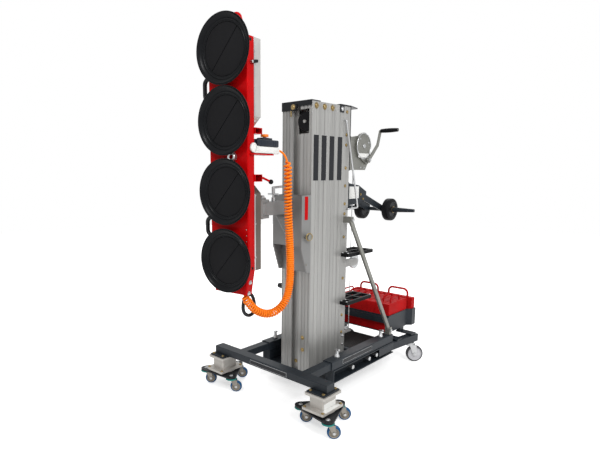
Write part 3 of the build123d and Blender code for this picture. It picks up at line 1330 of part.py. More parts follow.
def beam_corners(shrink):
    half = BEAM_HALF_W - shrink
    foot = BEAM_FOOT_HALF_W - 0.6 * shrink
    right = [
        (half, BEAM_TOP_Z - shrink),
        (half, BEAM_STRAIGHT_Z + 0.3 * shrink),
        (foot, BEAM_FOOT_Z + shrink),
    ]
    return right + [(-x, z) for x, z in reversed(right)]


with BuildPart() as beam:
    with BuildSketch(front_plane(BEAM_REAR_Y)):
        Polygon(*beam_corners(0), align=None)
    extrude(amount=BEAM_REAR_Y - BEAM_FRONT_Y)
    fillet(beam.faces().sort_by(Axis.Y)[0].edges(), BEAM_BEND)
    with BuildSketch(front_plane(BEAM_REAR_Y)):
        Polygon(*beam_corners(BEAM_WALL), align=None)
    extrude(amount=BEAM_REAR_Y - BEAM_FRONT_Y - BEAM_WALL, mode=Mode.SUBTRACT)
    with BuildSketch(front_plane(HUB_REAR_Y, 0, ARM_Z)):
        Circle(HUB_R)
    extrude(amount=HUB_REAR_Y - BEAM_FRONT_Y)
    with BuildSketch(front_plane(HUB_REAR_Y, 0, ARM_Z)):
        Circle(TURN_PIN_R + RUN_GAP)
    extrude(amount=HUB_DEPTH, mode=Mode.SUBTRACT)
    for socket_z, socket_h in zip(SOCKET_ZS, SOCKET_H):
        with BuildSketch(side_plane(-SOCKET_HALF_L, BEAM_REAR_Y + SOCKET_DEPTH / 2, socket_z)):
            Rectangle(SOCKET_DEPTH, socket_h)
            Rectangle(SOCKET_DEPTH - 2 * SOCKET_WALL, socket_h - 2 * SOCKET_WALL, mode=Mode.SUBTRACT)
        extrude(amount=2 * SOCKET_HALF_L)
        with BuildSketch(side_plane(-SOCKET_WALL / 2, BEAM_REAR_Y + SOCKET_DEPTH / 2, socket_z)):
            Rectangle(SOCKET_DEPTH, socket_h)
        extrude(amount=SOCKET_WALL)
    with BuildSketch(front_plane(socket_rear_y, LEVER_X, SOCKET_ZS[1])):
        Circle(LEVER_R + RUN_GAP)
    extrude(amount=SOCKET_WALL, mode=Mode.SUBTRACT)
    with BuildSketch(flat_plane(SHELF_TOP_Z - SHELF_T)):
        with BuildLine():
            Polyline(
                (BEAM_HALF_W - BEAM_WALL, BEAM_FRONT_Y + 10),
                (SHELF_OUT_X, BEAM_FRONT_Y + 10),
                (SHELF_OUT_X, SHELF_BACK_Y),
                (60, SHELF_BACK_Y),
                (60, BEAM_REAR_Y + 2),
                (BEAM_HALF_W - BEAM_WALL, BEAM_REAR_Y - 8),
                close=True,
            )
        make_face()
    extrude(amount=SHELF_T)
    with BuildSketch(front_plane(BEAM_FRONT_Y, 0, EYE_Z)):
        Circle(EYE_COLLAR_R)
    extrude(amount=EYE_COLLAR_L)
    with BuildSketch(front_plane(BEAM_FRONT_Y, 0, EYE_Z)):
        Circle(EYE_R)
    extrude(amount=EYE_COLLAR_L, mode=Mode.SUBTRACT)
    with BuildSketch(front_plane(BEAM_FRONT_Y, 0, EYE_Z)):
        Circle(EYE_R)
    extrude(amount=-BEAM_WALL, mode=Mode.SUBTRACT)
    with BuildLine() as handle_line:
        FilletPolyline(
            (-HANDLE_HALF_W, beam_mid_y, BEAM_TOP_Z - 2),
            (-HANDLE_TOP_HALF_W, beam_mid_y, HANDLE_TOP_Z),
            (HANDLE_TOP_HALF_W, beam_mid_y, HANDLE_TOP_Z),
            (HANDLE_HALF_W, beam_mid_y, BEAM_TOP_Z - 2),
            radius=20,
        )
    handle_start = Vector(-HANDLE_HALF_W, beam_mid_y, BEAM_TOP_Z - 2)
    with BuildSketch(Plane(origin=handle_start, z_dir=handle_line.line % 0)):
        Circle(HANDLE_R)
    sweep(path=handle_line.line)
save(swung(beam.part), "beam")

# Suction pads: four dished discs on the beam's front
PAD_R = 147.0
PAD_LIP_Y = -780.0
PAD_LIP_W = 11.0
PAD_ZS = (1736.0, 1441.0, 1135.0, 825.0)
pad_solids = []
for pad_z in PAD_ZS:
    with BuildPart() as pad:
        with BuildSketch(side_plane(0, 0, pad_z)):
            Polygon(
                (BEAM_FRONT_Y, 0),
                (BEAM_FRONT_Y, 0.62 * PAD_R),
                (BEAM_FRONT_Y - 10, 0.8 * PAD_R),
                (PAD_LIP_Y + 5, PAD_R),
                (PAD_LIP_Y, PAD_R),
                (PAD_LIP_Y, PAD_R - PAD_LIP_W),
                (BEAM_FRONT_Y - 20, 0.8 * PAD_R),
                (BEAM_FRONT_Y - 20, 0),
                align=None,
            )
        revolve(axis=Axis((0, 0, pad_z), (0, 1, 0)))
    pad_solids.append(pad.part)
group([swung(solid) for solid in pad_solids], "pads")

# Covers: two sheet shells over the beam's open rear, the lower one cut round the hub
COVER_T = 2.5
COVER_BEND = 4.0
COVER_HALF_W = 109.0
COVER_DEPTH = 53.0
COVER_CHAMFER = 44.0
UPPER_COVER_Z0 = SOCKET_ZS[0] + SOCKET_H[0] / 2 + 3.0
LOWER_COVER_Z1 = SOCKET_ZS[1] - SOCKET_H[1] / 2 - 8.0


def make_cover(z0, z1, chamfer_top):
    """Shell with two cut corners, at the top for the lower cover and at the bottom for the upper."""
    cut0 = 0 if chamfer_top else COVER_CHAMFER
    cut1 = COVER_CHAMFER if chamfer_top else 0

    def corners(t):
        half = COVER_HALF_W - t
        right = [(half, z0 + cut0 + t), (half, z1 - cut1 - t)]
        if cut0:
            right.insert(0, (half - cut0 + 0.4 * t, z0 + t))
        if cut1:
            right.append((half - cut1 + 0.4 * t, z1 - t))
        return right + [(-x, z) for x, z in reversed(right)]

    rear_y = BEAM_REAR_Y + COVER_DEPTH
    with BuildPart() as cover:
        with BuildSketch(front_plane(rear_y)):
            Polygon(*corners(0), align=None)
        extrude(amount=COVER_DEPTH)
        fillet(cover.faces().sort_by(Axis.Y)[-1].edges(), COVER_BEND)
        with BuildSketch(front_plane(rear_y - COVER_T)):
            Polygon(*corners(COVER_T), align=None)
        extrude(amount=COVER_DEPTH, mode=Mode.SUBTRACT)
        if chamfer_top:
            with BuildSketch(front_plane(rear_y, 0, ARM_Z)):
                Circle(HUB_R + 8)
            extrude(amount=COVER_DEPTH, mode=Mode.SUBTRACT)
    return cover.part


group(
    [
        swung(make_cover(UPPER_COVER_Z0, BEAM_TOP_Z, False)),
        swung(make_cover(BEAM_STRAIGHT_Z + 2, LOWER_COVER_Z1, True)),
    ],
    "covers",
)

# Grab handles: two rod loops on the head's right side
GRAB_ROD_R = 10.0
GRAB_OUT = 54.0
GRAB_ZS = ((1544.0, 1637.0), (927.0, 1010.0))
grab_y = BEAM_REAR_Y - GRAB_ROD_R + 2
grab_solids = []
for grab_z0, grab_z1 in GRAB_ZS:
    with BuildPart() as grab:
        with BuildLine() as grab_line:
            FilletPolyline(
                (-BEAM_HALF_W, grab_y, grab_z0),
                (-BEAM_HALF_W - GRAB_OUT, grab_y, grab_z0),
                (-BEAM_HALF_W - GRAB_OUT, grab_y, grab_z1),
                (-BEAM_HALF_W, grab_y, grab_z1),
                radius=24,
            )
        with BuildSketch(side_plane(-BEAM_HALF_W, grab_y, grab_z0)):
            Circle(GRAB_ROD_R)
        sweep(path=grab_line.line)
    grab_solids.append(grab.part)
group([swung(solid) for solid in grab_solids], "grab_handles")

# Control box on the shelf, with a round lug in front and a stop button on top
BOX_IN_X = 72.0
BOX_FRONT_Y = -700.0
BOX_BACK_Y = -520.0
BOX_TOP_Z = 1366.0
BOX_EDGE = 6.0
ISLAND_W = 40.0
ISLAND_L = 70.0
ISLAND_H = 8.0
LUG_R = 17.0
LUG_W = 11.0
BUTTON_Y = -605.0
BUTTON_STEM_R = 8.0
BUTTON_R = 18.0
BUTTON_TRAVEL = 4.0
box_mid_x = (BOX_IN_X + SHELF_OUT_X) / 2
island_top_z = BOX_TOP_Z + ISLAND_H
with BuildPart() as control_box:
    with BuildSketch(flat_plane(SHELF_TOP_Z, box_mid_x, (BOX_FRONT_Y + BOX_BACK_Y) / 2)):
        RectangleRounded(SHELF_OUT_X - BOX_IN_X, BOX_BACK_Y - BOX_FRONT_Y, BOX_EDGE)
    extrude(amount=BOX_TOP_Z - SHELF_TOP_Z)
    fillet(control_box.faces().sort_by(Axis.Z)[-1].edges(), BOX_EDGE)
    with BuildSketch(flat_plane(SHELF_TOP_Z + BOX_EDGE, box_mid_x, BUTTON_Y)):
        RectangleRounded(ISLAND_W, ISLAND_L, BOX_EDGE)
    extrude(amount=island_top_z - SHELF_TOP_Z - BOX_EDGE)
    fillet(control_box.faces().sort_by(Axis.Z)[-1].edges(), ISLAND_H / 2)
    with BuildSketch(side_plane(SHELF_OUT_X - LUG_W, BOX_FRONT_Y - LUG_R, SHELF_TOP_Z + LUG_R + 10)):
        Circle(LUG_R)
        with Locations((LUG_R, 0)):
            Rectangle(2 * LUG_R, 2 * LUG_R)
    extrude(amount=LUG_W)
    with BuildSketch(flat_plane(island_top_z, box_mid_x, BUTTON_Y)):
        Circle(BUTTON_STEM_R + RUN_GAP)
    extrude(amount=-24, mode=Mode.SUBTRACT)
save(swung(control_box.part), "control_box")

with BuildPart() as stop_button:
    with BuildSketch(flat_plane(island_top_z - 16, box_mid_x, BUTTON_Y)):
        Circle(BUTTON_STEM_R)
    extrude(amount=16 + BUTTON_TRAVEL + 1)
    with BuildSketch(flat_plane(island_top_z + BUTTON_TRAVEL + 1, box_mid_x, BUTTON_Y)):
        Circle(BUTTON_R)
    extrude(amount=11)
    fillet(stop_button.faces().sort_by(Axis.Z)[-1].edges(), 2.5)
save(swung(stop_button.part), "stop_button")

# Lock lever: a stud in the lower socket's rear wall, a bent arm and a ball
LEVER_REACH = 40.0
BALL_R = 11.0
lever_end = Vector(LEVER_X + 18, socket_rear_y + LEVER_REACH + 30, SOCKET_ZS[1] - 18)
with BuildPart() as lock_lever:
    with BuildSketch(front_plane(socket_rear_y - SOCKET_WALL, LEVER_X, SOCKET_ZS[1])):
        Circle(LEVER_R)
    extrude(amount=-LEVER_REACH)
    with BuildSketch(front_plane(socket_rear_y, LEVER_X, SOCKET_ZS[1])):
        Circle(1.8 * LEVER_R)
    extrude(amount=-0.5 * LEVER_REACH)
    lever_start = Vector(LEVER_X, socket_rear_y + LEVER_REACH - 8, SOCKET_ZS[1])
    with BuildSketch(Plane(origin=lever_start, z_dir=lever_end - lever_start)):
        Circle(LEVER_R)
    extrude(amount=(lever_end - lever_start).length)
    with Locations(lever_end):
        Sphere(BALL_R)
save(swung(lock_lever.part), "lock_lever")

# Curly cord: a lead out of the control box, the coil as one fat tube, and a lead into the beam's foot
LEAD_R = 4.0
COIL_R = 19.0
COIL_POINTS = (
    (121, -440, 1262),
    (121, -440, 1150),
    (121, -436, 1030),
    (122, -426, 900),
    (122, -418, 770),
    (122, -421, 665),
    (120, -447, 585),
    (115, -515, 545),
    (109, -585, 546),
    (103, -655, 583),
    (100, -698, 636),
)
LEAD_X = 108.0
LEAD_Z = 1322.0
FOOT_LEAD_X = 69.0
LEAD_TOP = (
    swung_point(LEAD_X, BOX_BACK_Y, LEAD_Z),
    swung_point(LEAD_X, BOX_BACK_Y + 25, LEAD_Z),
    (119, -456, 1298),
    (121, -440, 1256),
)
LEAD_END = (
    (100.5, -695.5, 633),
    swung_point(FOOT_LEAD_X, beam_mid_y, BEAM_FOOT_Z - 17),
    swung_point(FOOT_LEAD_X, beam_mid_y, BEAM_FOOT_Z),
)
print("cord ends", LEAD_TOP[:2], LEAD_END[1:])


def bend_radii(points):
    """Largest radius that each corner's two runs allow."""
    corners = [Vector(*p) for p in points]
    radii = []
    for before, here, after in zip(corners, corners[1:], corners[2:]):
        turn = radians((here - before).get_angle(after - here))
        run = min((here - before).length, (after - here).length)
        radii.append(0.45 * run / tan(turn / 2))
    return radii


with BuildPart() as curly_cord:
    for points, tube_r in ((COIL_POINTS, COIL_R), (LEAD_TOP, LEAD_R), (LEAD_END, LEAD_R)):
        radii = bend_radii(points)
        print("cord bend radii", [round(r) for r in radii])
        with BuildLine() as cord_line:
            FilletPolyline(*points, radius=radii)
        first = Vector(*points[0])
        with BuildSketch(Plane(origin=first, z_dir=Vector(*points[1]) - first)):
            Circle(tube_r)
        sweep(path=cord_line.line)
        print("cord run", round(sum(e.length for e in cord_line.edges())), "mm")
save(curly_cord.part, "curly_cord")
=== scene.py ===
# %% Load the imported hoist
import json
import math

import bmesh
import bpy
from mathutils import Matrix, Vector


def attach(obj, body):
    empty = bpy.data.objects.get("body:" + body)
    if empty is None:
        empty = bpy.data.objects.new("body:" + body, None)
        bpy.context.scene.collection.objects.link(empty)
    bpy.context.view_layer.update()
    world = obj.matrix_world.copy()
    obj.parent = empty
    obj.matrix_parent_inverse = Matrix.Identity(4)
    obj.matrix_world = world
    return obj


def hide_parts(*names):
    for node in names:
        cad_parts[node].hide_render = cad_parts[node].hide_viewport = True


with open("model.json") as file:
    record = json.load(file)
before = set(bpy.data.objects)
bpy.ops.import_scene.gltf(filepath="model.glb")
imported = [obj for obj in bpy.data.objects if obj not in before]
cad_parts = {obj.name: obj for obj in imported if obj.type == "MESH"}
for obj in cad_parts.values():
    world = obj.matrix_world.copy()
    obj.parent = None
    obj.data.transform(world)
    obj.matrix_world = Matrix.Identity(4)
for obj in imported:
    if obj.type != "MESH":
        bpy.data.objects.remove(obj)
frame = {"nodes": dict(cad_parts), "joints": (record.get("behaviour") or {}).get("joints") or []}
bpy.context.scene.view_settings.view_transform = "Standard"
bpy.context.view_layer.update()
NODES = frame["nodes"]

# %% [markdown]
# The frame holds every solid of the hoist where it stands: mast, base, winch and the head with its
# suction pads. This lesson only dresses it. The first thing to settle is where we look from, because
# each later choice is judged in that picture. The hoist is seen from its front left corner, close to
# the height of the pads' middle, so the camera stands there and looks slightly down, with a small
# shift that frames the machine as a catalogue picture would.

# %% Camera
CAMERA_AT = (1.6597, -2.180, 1.215)
CAMERA_YAW = 43.5
CAMERA_TILT = 9.8
LENS_MM = 28.92
LENS_SHIFT = (0.055, 0.0533)

eye = bpy.data.cameras.new("viewpoint")
eye.sensor_width = 36.0
eye.lens = LENS_MM
eye.shift_x, eye.shift_y = LENS_SHIFT
viewpoint = bpy.data.objects.new("viewpoint", eye)
bpy.context.collection.objects.link(viewpoint)
viewpoint.location = CAMERA_AT
viewpoint.rotation_euler = (math.radians(90 - CAMERA_TILT), 0, math.radians(CAMERA_YAW))
bpy.context.scene.camera = viewpoint
print("camera at", CAMERA_AT)

# %% [markdown]
# A catalogue picture has no horizon: the floor runs into the backdrop and both are nearly white. A
# sheet bent up behind the hoist would do it, but from other sides that sheet would stand in the way.
# So the floor is one wide disc that glows a little for the camera, more with the distance from the
# hoist, and the world around it is white for the camera and for reflections, while a softer grey
# world does the lighting. Near the wheels the glow is weak enough to leave their soft shadow.

# %% Floor and backdrop
FLOOR_RADIUS = 9.0
SOFT_GREY = 0.45
GLOW_STARTS = 0.7
GLOW_IS_FULL = 2.2
GLOW_AT_HOIST = 0.52
SHARP_ANGLE = math.radians(32)


def link(name, bm, smooth=True):
    """Turn a bmesh into an object at the origin."""
    mesh = bpy.data.meshes.new(name)
    bm.to_mesh(mesh)
    bm.free()
    if smooth:
        mesh.shade_smooth()
        mesh.set_sharp_from_angle(angle=SHARP_ANGLE)
    obj = bpy.data.objects.new(name, mesh)
    bpy.context.collection.objects.link(obj)
    return obj


def add_node(mat, kind, **values):
    """New shader node with its settings and default inputs filled in."""
    node = mat.node_tree.nodes.new(kind)
    for key, value in values.items():
        if key in node.inputs:
            node.inputs[key].default_value = value
        else:
            setattr(node, key, value)
    return node


def seen_directly(mat):
    """Value of 1 for camera, mirror and see-through rays, which should meet a white backdrop."""
    path = add_node(mat, "ShaderNodeLightPath")
    total = add_node(mat, "ShaderNodeMath", operation="MAXIMUM")
    last = add_node(mat, "ShaderNodeMath", operation="MAXIMUM", use_clamp=True)
    links = mat.node_tree.links
    links.new(path.outputs["Is Camera Ray"], total.inputs[0])
    links.new(path.outputs["Is Glossy Ray"], total.inputs[1])
    links.new(total.outputs[0], last.inputs[0])
    links.new(path.outputs["Is Transmission Ray"], last.inputs[1])
    return last.outputs[0]


def remap(mat, source, to_min, to_max, from_min=0.0, from_max=1.0):
    """Carry a value from one range over to another."""
    node = add_node(mat, "ShaderNodeMapRange")
    ends = {"From Min": from_min, "From Max": from_max, "To Min": to_min, "To Max": to_max}
    for key, value in ends.items():
        node.inputs[key].default_value = value
    mat.node_tree.links.new(source, node.inputs["Value"])
    return node.outputs[0]


world = bpy.data.worlds.new("studio")
world.use_nodes = True
bpy.context.scene.world = world
backdrop = world.node_tree.nodes["Background"]
strength = remap(world, seen_directly(world), SOFT_GREY, 1.0)
world.node_tree.links.new(strength, backdrop.inputs["Strength"])
backdrop.inputs["Color"].default_value = (1, 1, 1, 1)

bm = bmesh.new()
bmesh.ops.create_circle(bm, cap_ends=True, radius=FLOOR_RADIUS, segments=96)
floor = link("floor", bm, smooth=False)

floor_paint = bpy.data.materials.new("pale_floor")
floor_paint.use_nodes = True
floor_shader = floor_paint.node_tree.nodes["Principled BSDF"]
floor_shader.inputs["Base Color"].default_value = (0.92, 0.92, 0.92, 1)
floor_shader.inputs["Roughness"].default_value = 0.9
floor_shader.inputs["Specular IOR Level"].default_value = 0.0
floor_shader.inputs["Emission Color"].default_value = (1, 1, 1, 1)
floor_links = floor_paint.node_tree.links
spot = add_node(floor_paint, "ShaderNodeTexCoord")
away = add_node(floor_paint, "ShaderNodeVectorMath", operation="LENGTH")
glow = add_node(floor_paint, "ShaderNodeMath", operation="MULTIPLY")
floor_links.new(spot.outputs["Object"], away.inputs[0])
fade = remap(floor_paint, away.outputs["Value"], GLOW_AT_HOIST, 1.0, GLOW_STARTS, GLOW_IS_FULL)
floor_links.new(fade, glow.inputs[0])
floor_links.new(seen_directly(floor_paint), glow.inputs[1])
floor_links.new(glow.outputs[0], floor_shader.inputs["Emission Strength"])
floor.data.materials.append(floor_paint)
print("floor radius", FLOOR_RADIUS)

# %% [markdown]
# Three softboxes light the hoist: a key on the side that shows the mast's edges, a smaller one high in
# front that draws a crescent in each rubber cup, and one behind that lights the outline. The key stands
# well to one side, so that the faces of the mast differ in tone and its corner reads as a corner.

# %% Lights
def lamp(name, at, aim, size, watts):
    """Square softbox that points at a spot on the hoist."""
    data = bpy.data.lights.new(name, "AREA")
    data.shape = "SQUARE"
    data.size = size
    data.energy = watts
    obj = bpy.data.objects.new(name, data)
    bpy.context.collection.objects.link(obj)
    obj.location = at
    obj.rotation_euler = (Vector(aim) - Vector(at)).to_track_quat("-Z", "Y").to_euler()
    return obj


lamp("key_softbox", (3.0, -1.0, 3.0), (0, 0, 1.2), size=1.8, watts=92)
lamp("front_softbox", (1.0, -3.3, 3.6), (0, -0.5, 1.2), size=0.85, watts=52)
lamp("back_softbox", (-1.2, 3.4, 3.2), (0, 0, 0.9), size=2.4, watts=50)
print("lights", len(bpy.data.lights))

# %% [markdown]
# Every finish here is a coating, metal or rubber, and none is one flat colour: paint has a faint orange
# peel and drifts a little in tone, drawn aluminium has streaks along its length, rubber has a fine
# grain. One function builds them all from the piece's own coordinates. Two noises do the work: a wide
# one drifts the tone and the gloss, and a fine one, stretched for drawn metal, makes the relief.

# %% Finishes
def finish(name, colour, rough, metal=0.0, drift=0.12, grain=(420, 420, 420), relief=0.00012,
           shine=0.5, cloud=(7, 7, 7)):
    """Coating with drifting tone, drifting gloss and a fine relief, all in object coordinates."""
    mat = bpy.data.materials.new(name)
    mat.use_nodes = True
    links = mat.node_tree.links
    shader = mat.node_tree.nodes["Principled BSDF"]
    place = add_node(mat, "ShaderNodeTexCoord")
    spread = add_node(mat, "ShaderNodeMapping", Scale=cloud)
    wide = add_node(mat, "ShaderNodeTexNoise", Scale=1.0, Detail=5.0, Roughness=0.6)
    stretch = add_node(mat, "ShaderNodeMapping", Scale=grain)
    fine = add_node(mat, "ShaderNodeTexNoise", Scale=1.0, Detail=3.0, Roughness=0.55)
    links.new(place.outputs["Object"], spread.inputs["Vector"])
    links.new(spread.outputs[0], wide.inputs["Vector"])
    links.new(place.outputs["Object"], stretch.inputs["Vector"])
    links.new(stretch.outputs[0], fine.inputs["Vector"])

    tone = add_node(mat, "ShaderNodeValToRGB")
    low, high = tone.color_ramp.elements
    low.position = 0.3
    high.position = 0.72
    low.color = tuple(c * (1 - drift) for c in colour) + (1,)
    high.color = tuple(min(1, c * (1 + drift)) for c in colour) + (1,)
    links.new(wide.outputs["Fac"], tone.inputs["Fac"])
    speck = add_node(mat, "ShaderNodeMix", data_type="RGBA", blend_type="MULTIPLY")
    speck.inputs["Factor"].default_value = 0.35
    links.new(tone.outputs["Color"], speck.inputs["A"])
    flecks = remap(mat, fine.outputs["Fac"], 1 - 2 * drift, 1.0, 0.25, 0.75)
    links.new(flecks, speck.inputs["B"])
    links.new(speck.outputs["Result"], shader.inputs["Base Color"])

    gloss = remap(mat, wide.outputs["Fac"], max(0.05, rough - 0.08), min(1.0, rough + 0.1))
    links.new(gloss, shader.inputs["Roughness"])
    bump = add_node(mat, "ShaderNodeBump", Strength=0.5, Distance=relief)
    links.new(fine.outputs["Fac"], bump.inputs["Height"])
    links.new(bump.outputs[0], shader.inputs["Normal"])
    shader.inputs["Metallic"].default_value = metal
    shader.inputs["Specular IOR Level"].default_value = shine
    return mat


ALONG_Z = (520, 520, 6)
RED_PAINT = finish("red_paint", (0.47, 0.002, 0.003), 0.3, relief=0.0001, shine=0.06)
WEIGHT_RED = finish("weight_red", (0.46, 0.006, 0.007), 0.6, drift=0.16, relief=0.0003, shine=0.08)
CHARCOAL = finish("charcoal_paint", (0.016, 0.021, 0.027), 0.42, drift=0.2, shine=0.2)
BLACK_PAINT = finish("black_paint", (0.008, 0.009, 0.011), 0.36, drift=0.25, shine=0.2)
BLACK_PLASTIC = finish(
    "black_plastic", (0.007, 0.007, 0.008), 0.5, drift=0.2, relief=0.0003, shine=0.08,
)
MAST_METAL = finish(
    "drawn_aluminium", (0.345, 0.343, 0.332), 0.36, metal=0.25, drift=0.2, grain=ALONG_Z,
    cloud=(38, 38, 0.7),
)
CAST_METAL = finish("cast_aluminium", (0.45, 0.43, 0.40), 0.5, metal=0.4, drift=0.1, relief=0.0004)
CARRIAGE_GREY = finish(
    "silver_paint", (0.215, 0.215, 0.212), 0.4, metal=0.3, drift=0.08, relief=0.0002, shine=0.25,
)
# The cover sheet comes in two copies: a dark one that is a painted reflection of dark surroundings, and
# a light one that is a painted reflection of bright surroundings.
SHADED_SHEET = finish("bare_sheet", (0.11, 0.090, 0.074), 0.34, metal=0.8, drift=0.16, grain=ALONG_Z)
LIT_SHEET = finish(
    "bright_sheet", (0.50, 0.49, 0.47), 0.34, metal=0.6, drift=0.12, grain=ALONG_Z,
)
ZINC = finish("bright_zinc", (0.45, 0.455, 0.46), 0.3, metal=0.9, drift=0.12)
DULL_ZINC = finish("dull_zinc", (0.225, 0.225, 0.205), 0.4, metal=0.7, drift=0.16)
FORK_ZINC = finish("fork_zinc", (0.235, 0.217, 0.19), 0.26, metal=0.95, drift=0.22)
GOLD_ZINC = finish("gold_zinc", (0.31, 0.225, 0.10), 0.3, metal=0.9, drift=0.25)
PAD_RUBBER = finish(
    "pad_rubber", (0.0066, 0.0071, 0.0083), 0.26, drift=0.18, relief=0.00005, shine=0.085,
)
PAD_FOAM = finish(
    "pad_foam", (0.0075, 0.0075, 0.0085), 0.75, drift=0.2, grain=(900, 900, 900), relief=0.0004,
    shine=0.12,
)
GREY_TREAD = finish("grey_tread", (0.055, 0.055, 0.06), 0.55, drift=0.15, shine=0.3)
PALE_CORE = finish("pale_core", (0.5, 0.5, 0.52), 0.45, drift=0.08)
BLUE_TREAD = finish("blue_tread", (0.005, 0.075, 0.20), 0.42, drift=0.18, shine=0.2)
CREAM_CORE = finish("cream_core", (0.24, 0.212, 0.17), 0.45, drift=0.1)
TEAL_RING = finish("teal_ring", (0.010, 0.22, 0.19), 0.4, drift=0.12, shine=0.3)
WHITE_SHELL = finish("white_shell", (0.74, 0.74, 0.72), 0.38, drift=0.04)
NAVY_SHELL = finish("navy_shell", (0.010, 0.015, 0.024), 0.45, drift=0.15, shine=0.2)
ORANGE_KNOB = finish("orange_knob", (0.86, 0.2, 0.012), 0.36, drift=0.06, shine=0.3)
CORD_ORANGE = finish("cord_sheath", (0.95, 0.21, 0.008), 0.45, drift=0.08, shine=0.15)
MAT_RUBBER = finish("mat_rubber", (0.012, 0.012, 0.012), 0.5, drift=0.25, relief=0.0003, shine=0.2)
PLATE_BLACK = finish("plate_black", (0.008, 0.009, 0.012), 0.28, drift=0.15, shine=0.2)
print("finishes", len(bpy.data.materials))

# %% [markdown]
# Most solids keep the shape they have in the frame and only need their finish. The frame, tray and
# brackets are charcoal powder coat, the mast is drawn aluminium, the head is gloss red, the forks and
# winch are zinc plated. One call per finish lists the solids that wear it. The two sheet covers are
# one node of the frame and one bare sheet. The upper one is painted light and the lower one dark, as
# painted reflections of bright and dark surroundings, so their faces are picked by height.

# %% Finishes on the solids
def dress(mat, *names):
    """Give a finish to the solids of the frame that keep their own shape."""
    for name in names:
        mesh = NODES[name].data
        mesh.materials.clear()
        mesh.materials.append(mat)


CORNERS = ("rear", "outer", "inner")
SIDES = {"left": 1, "right": -1}
dress(RED_PAINT, "beam", "lock_lever")
dress(WEIGHT_RED, "counterweights")
dress(CHARCOAL, "base_frame", "front_frame", "weight_tray", "loading_bracket")
dress(BLACK_PAINT, "mast_cap", "winch_bracket", "grab_handles", "dolly_plate_left", "dolly_plate_right")
dress(BLACK_PLASTIC, "steps", "crank_grip", "sheave")
dress(MAST_METAL, "rear_rails", *(f"mast_section_{i}" for i in range(1, 5)))
dress(CAST_METAL, "risers")
dress(CARRIAGE_GREY, "carriage", "knuckle")
dress(SHADED_SHEET, "covers")
dress(ZINC, "grab_rod", "knuckle_clamp", "lift_cable", "idler_pulley")
dress(DULL_ZINC, "braces", "winch_frame", "winch_drum", "crank", "height_pin")
dress(GREY_TREAD, "base_wheels")
dress(ORANGE_KNOB, "stop_button")
for side in SIDES:
    dress(ZINC, "rear_fork_" + side)
    for end in ("front", "rear"):
        dress(ZINC, f"clamp_handle_{side}_{end}")
    for corner in CORNERS:
        dress(FORK_ZINC, f"dolly_fork_{side}_{corner}")

# Painted reflection: cover faces above this height get the light copy of the sheet, and those below it
# get the dark copy.
LIT_COVER_FROM_Z = 1.3
covers = NODES["covers"]
covers.data.materials.append(LIT_SHEET)
for face in covers.data.polygons:
    face.material_index = int((covers.matrix_world @ face.center).z > LIT_COVER_FROM_Z)
print("bright cover faces", sum(face.material_index for face in covers.data.polygons))

# %% [markdown]
# The control lead is a curly cord: a thin sheathed wire wound into a long spring. It leaves the
# control box as a plain lead, hangs as a coil beside the arm, swings forward in a low belly and runs
# up into the beam's foot. Gravity stretches the upper turns apart, the lower ones close up, and the
# bend in the belly spreads them again.
# We lay its route first, as one smooth NURBS line, and then wind the wire round that line.

# %% Curly cord
CORD_ROUTE = (
    (0.1097, -0.4778, 1.322), (0.1063, -0.4530, 1.322), (0.119, -0.429, 1.298), (0.121, -0.413, 1.256),
    (0.121, -0.413, 1.150), (0.121, -0.409, 1.030), (0.122, -0.399, 0.900), (0.122, -0.391, 0.770),
    (0.122, -0.394, 0.665), (0.120, -0.420, 0.585), (0.115, -0.488, 0.545), (0.109, -0.558, 0.546),
    (0.103, -0.628, 0.583), (0.100, -0.671, 0.636), (0.0994, -0.6842, 0.651), (0.0994, -0.6842, 0.668),
)
WIRE_R = 0.0050
COIL_R = 0.0160
LEAD_IN = 0.080
LEAD_OUT = 0.004
OPEN_PITCH = 0.0195
TIGHT_PITCH = 0.0105
OPEN_LENGTH = 0.44
BELLY_PITCH = 0.0146
BELLY_FROM = 0.67
BELLY_RAMP = 0.08
SWELL_LENGTH = 0.02
TURN_POINTS = 12
SAME_POINT = 0.0005


def nurbs_curve(name, points, resolution):
    """Open third order NURBS line through the neighbourhood of its control points."""
    data = bpy.data.curves.new(name, "CURVE")
    data.dimensions = "3D"
    data.resolution_u = resolution
    line = data.splines.new("NURBS")
    line.points.add(len(points) - 1)
    for spot, point in zip(line.points, points):
        spot.co = (*point, 1)
    line.order_u = 3
    line.use_endpoint_u = True
    obj = bpy.data.objects.new(name, data)
    bpy.context.collection.objects.link(obj)
    return obj


def read_line(obj):
    """Points along a curve that has no bevel yet."""
    bpy.context.view_layer.update()
    shown = obj.evaluated_get(bpy.context.evaluated_depsgraph_get())
    mesh = bpy.data.meshes.new_from_object(shown)
    points = [v.co.copy() for v in mesh.vertices]
    bpy.data.meshes.remove(mesh)
    return points


def line_length(points):
    """Length of a line through points."""
    return sum((b - a).length for a, b in zip(points, points[1:]))


def unit(value):
    """Value held between 0 and 1."""
    return min(1.0, max(0.0, value))


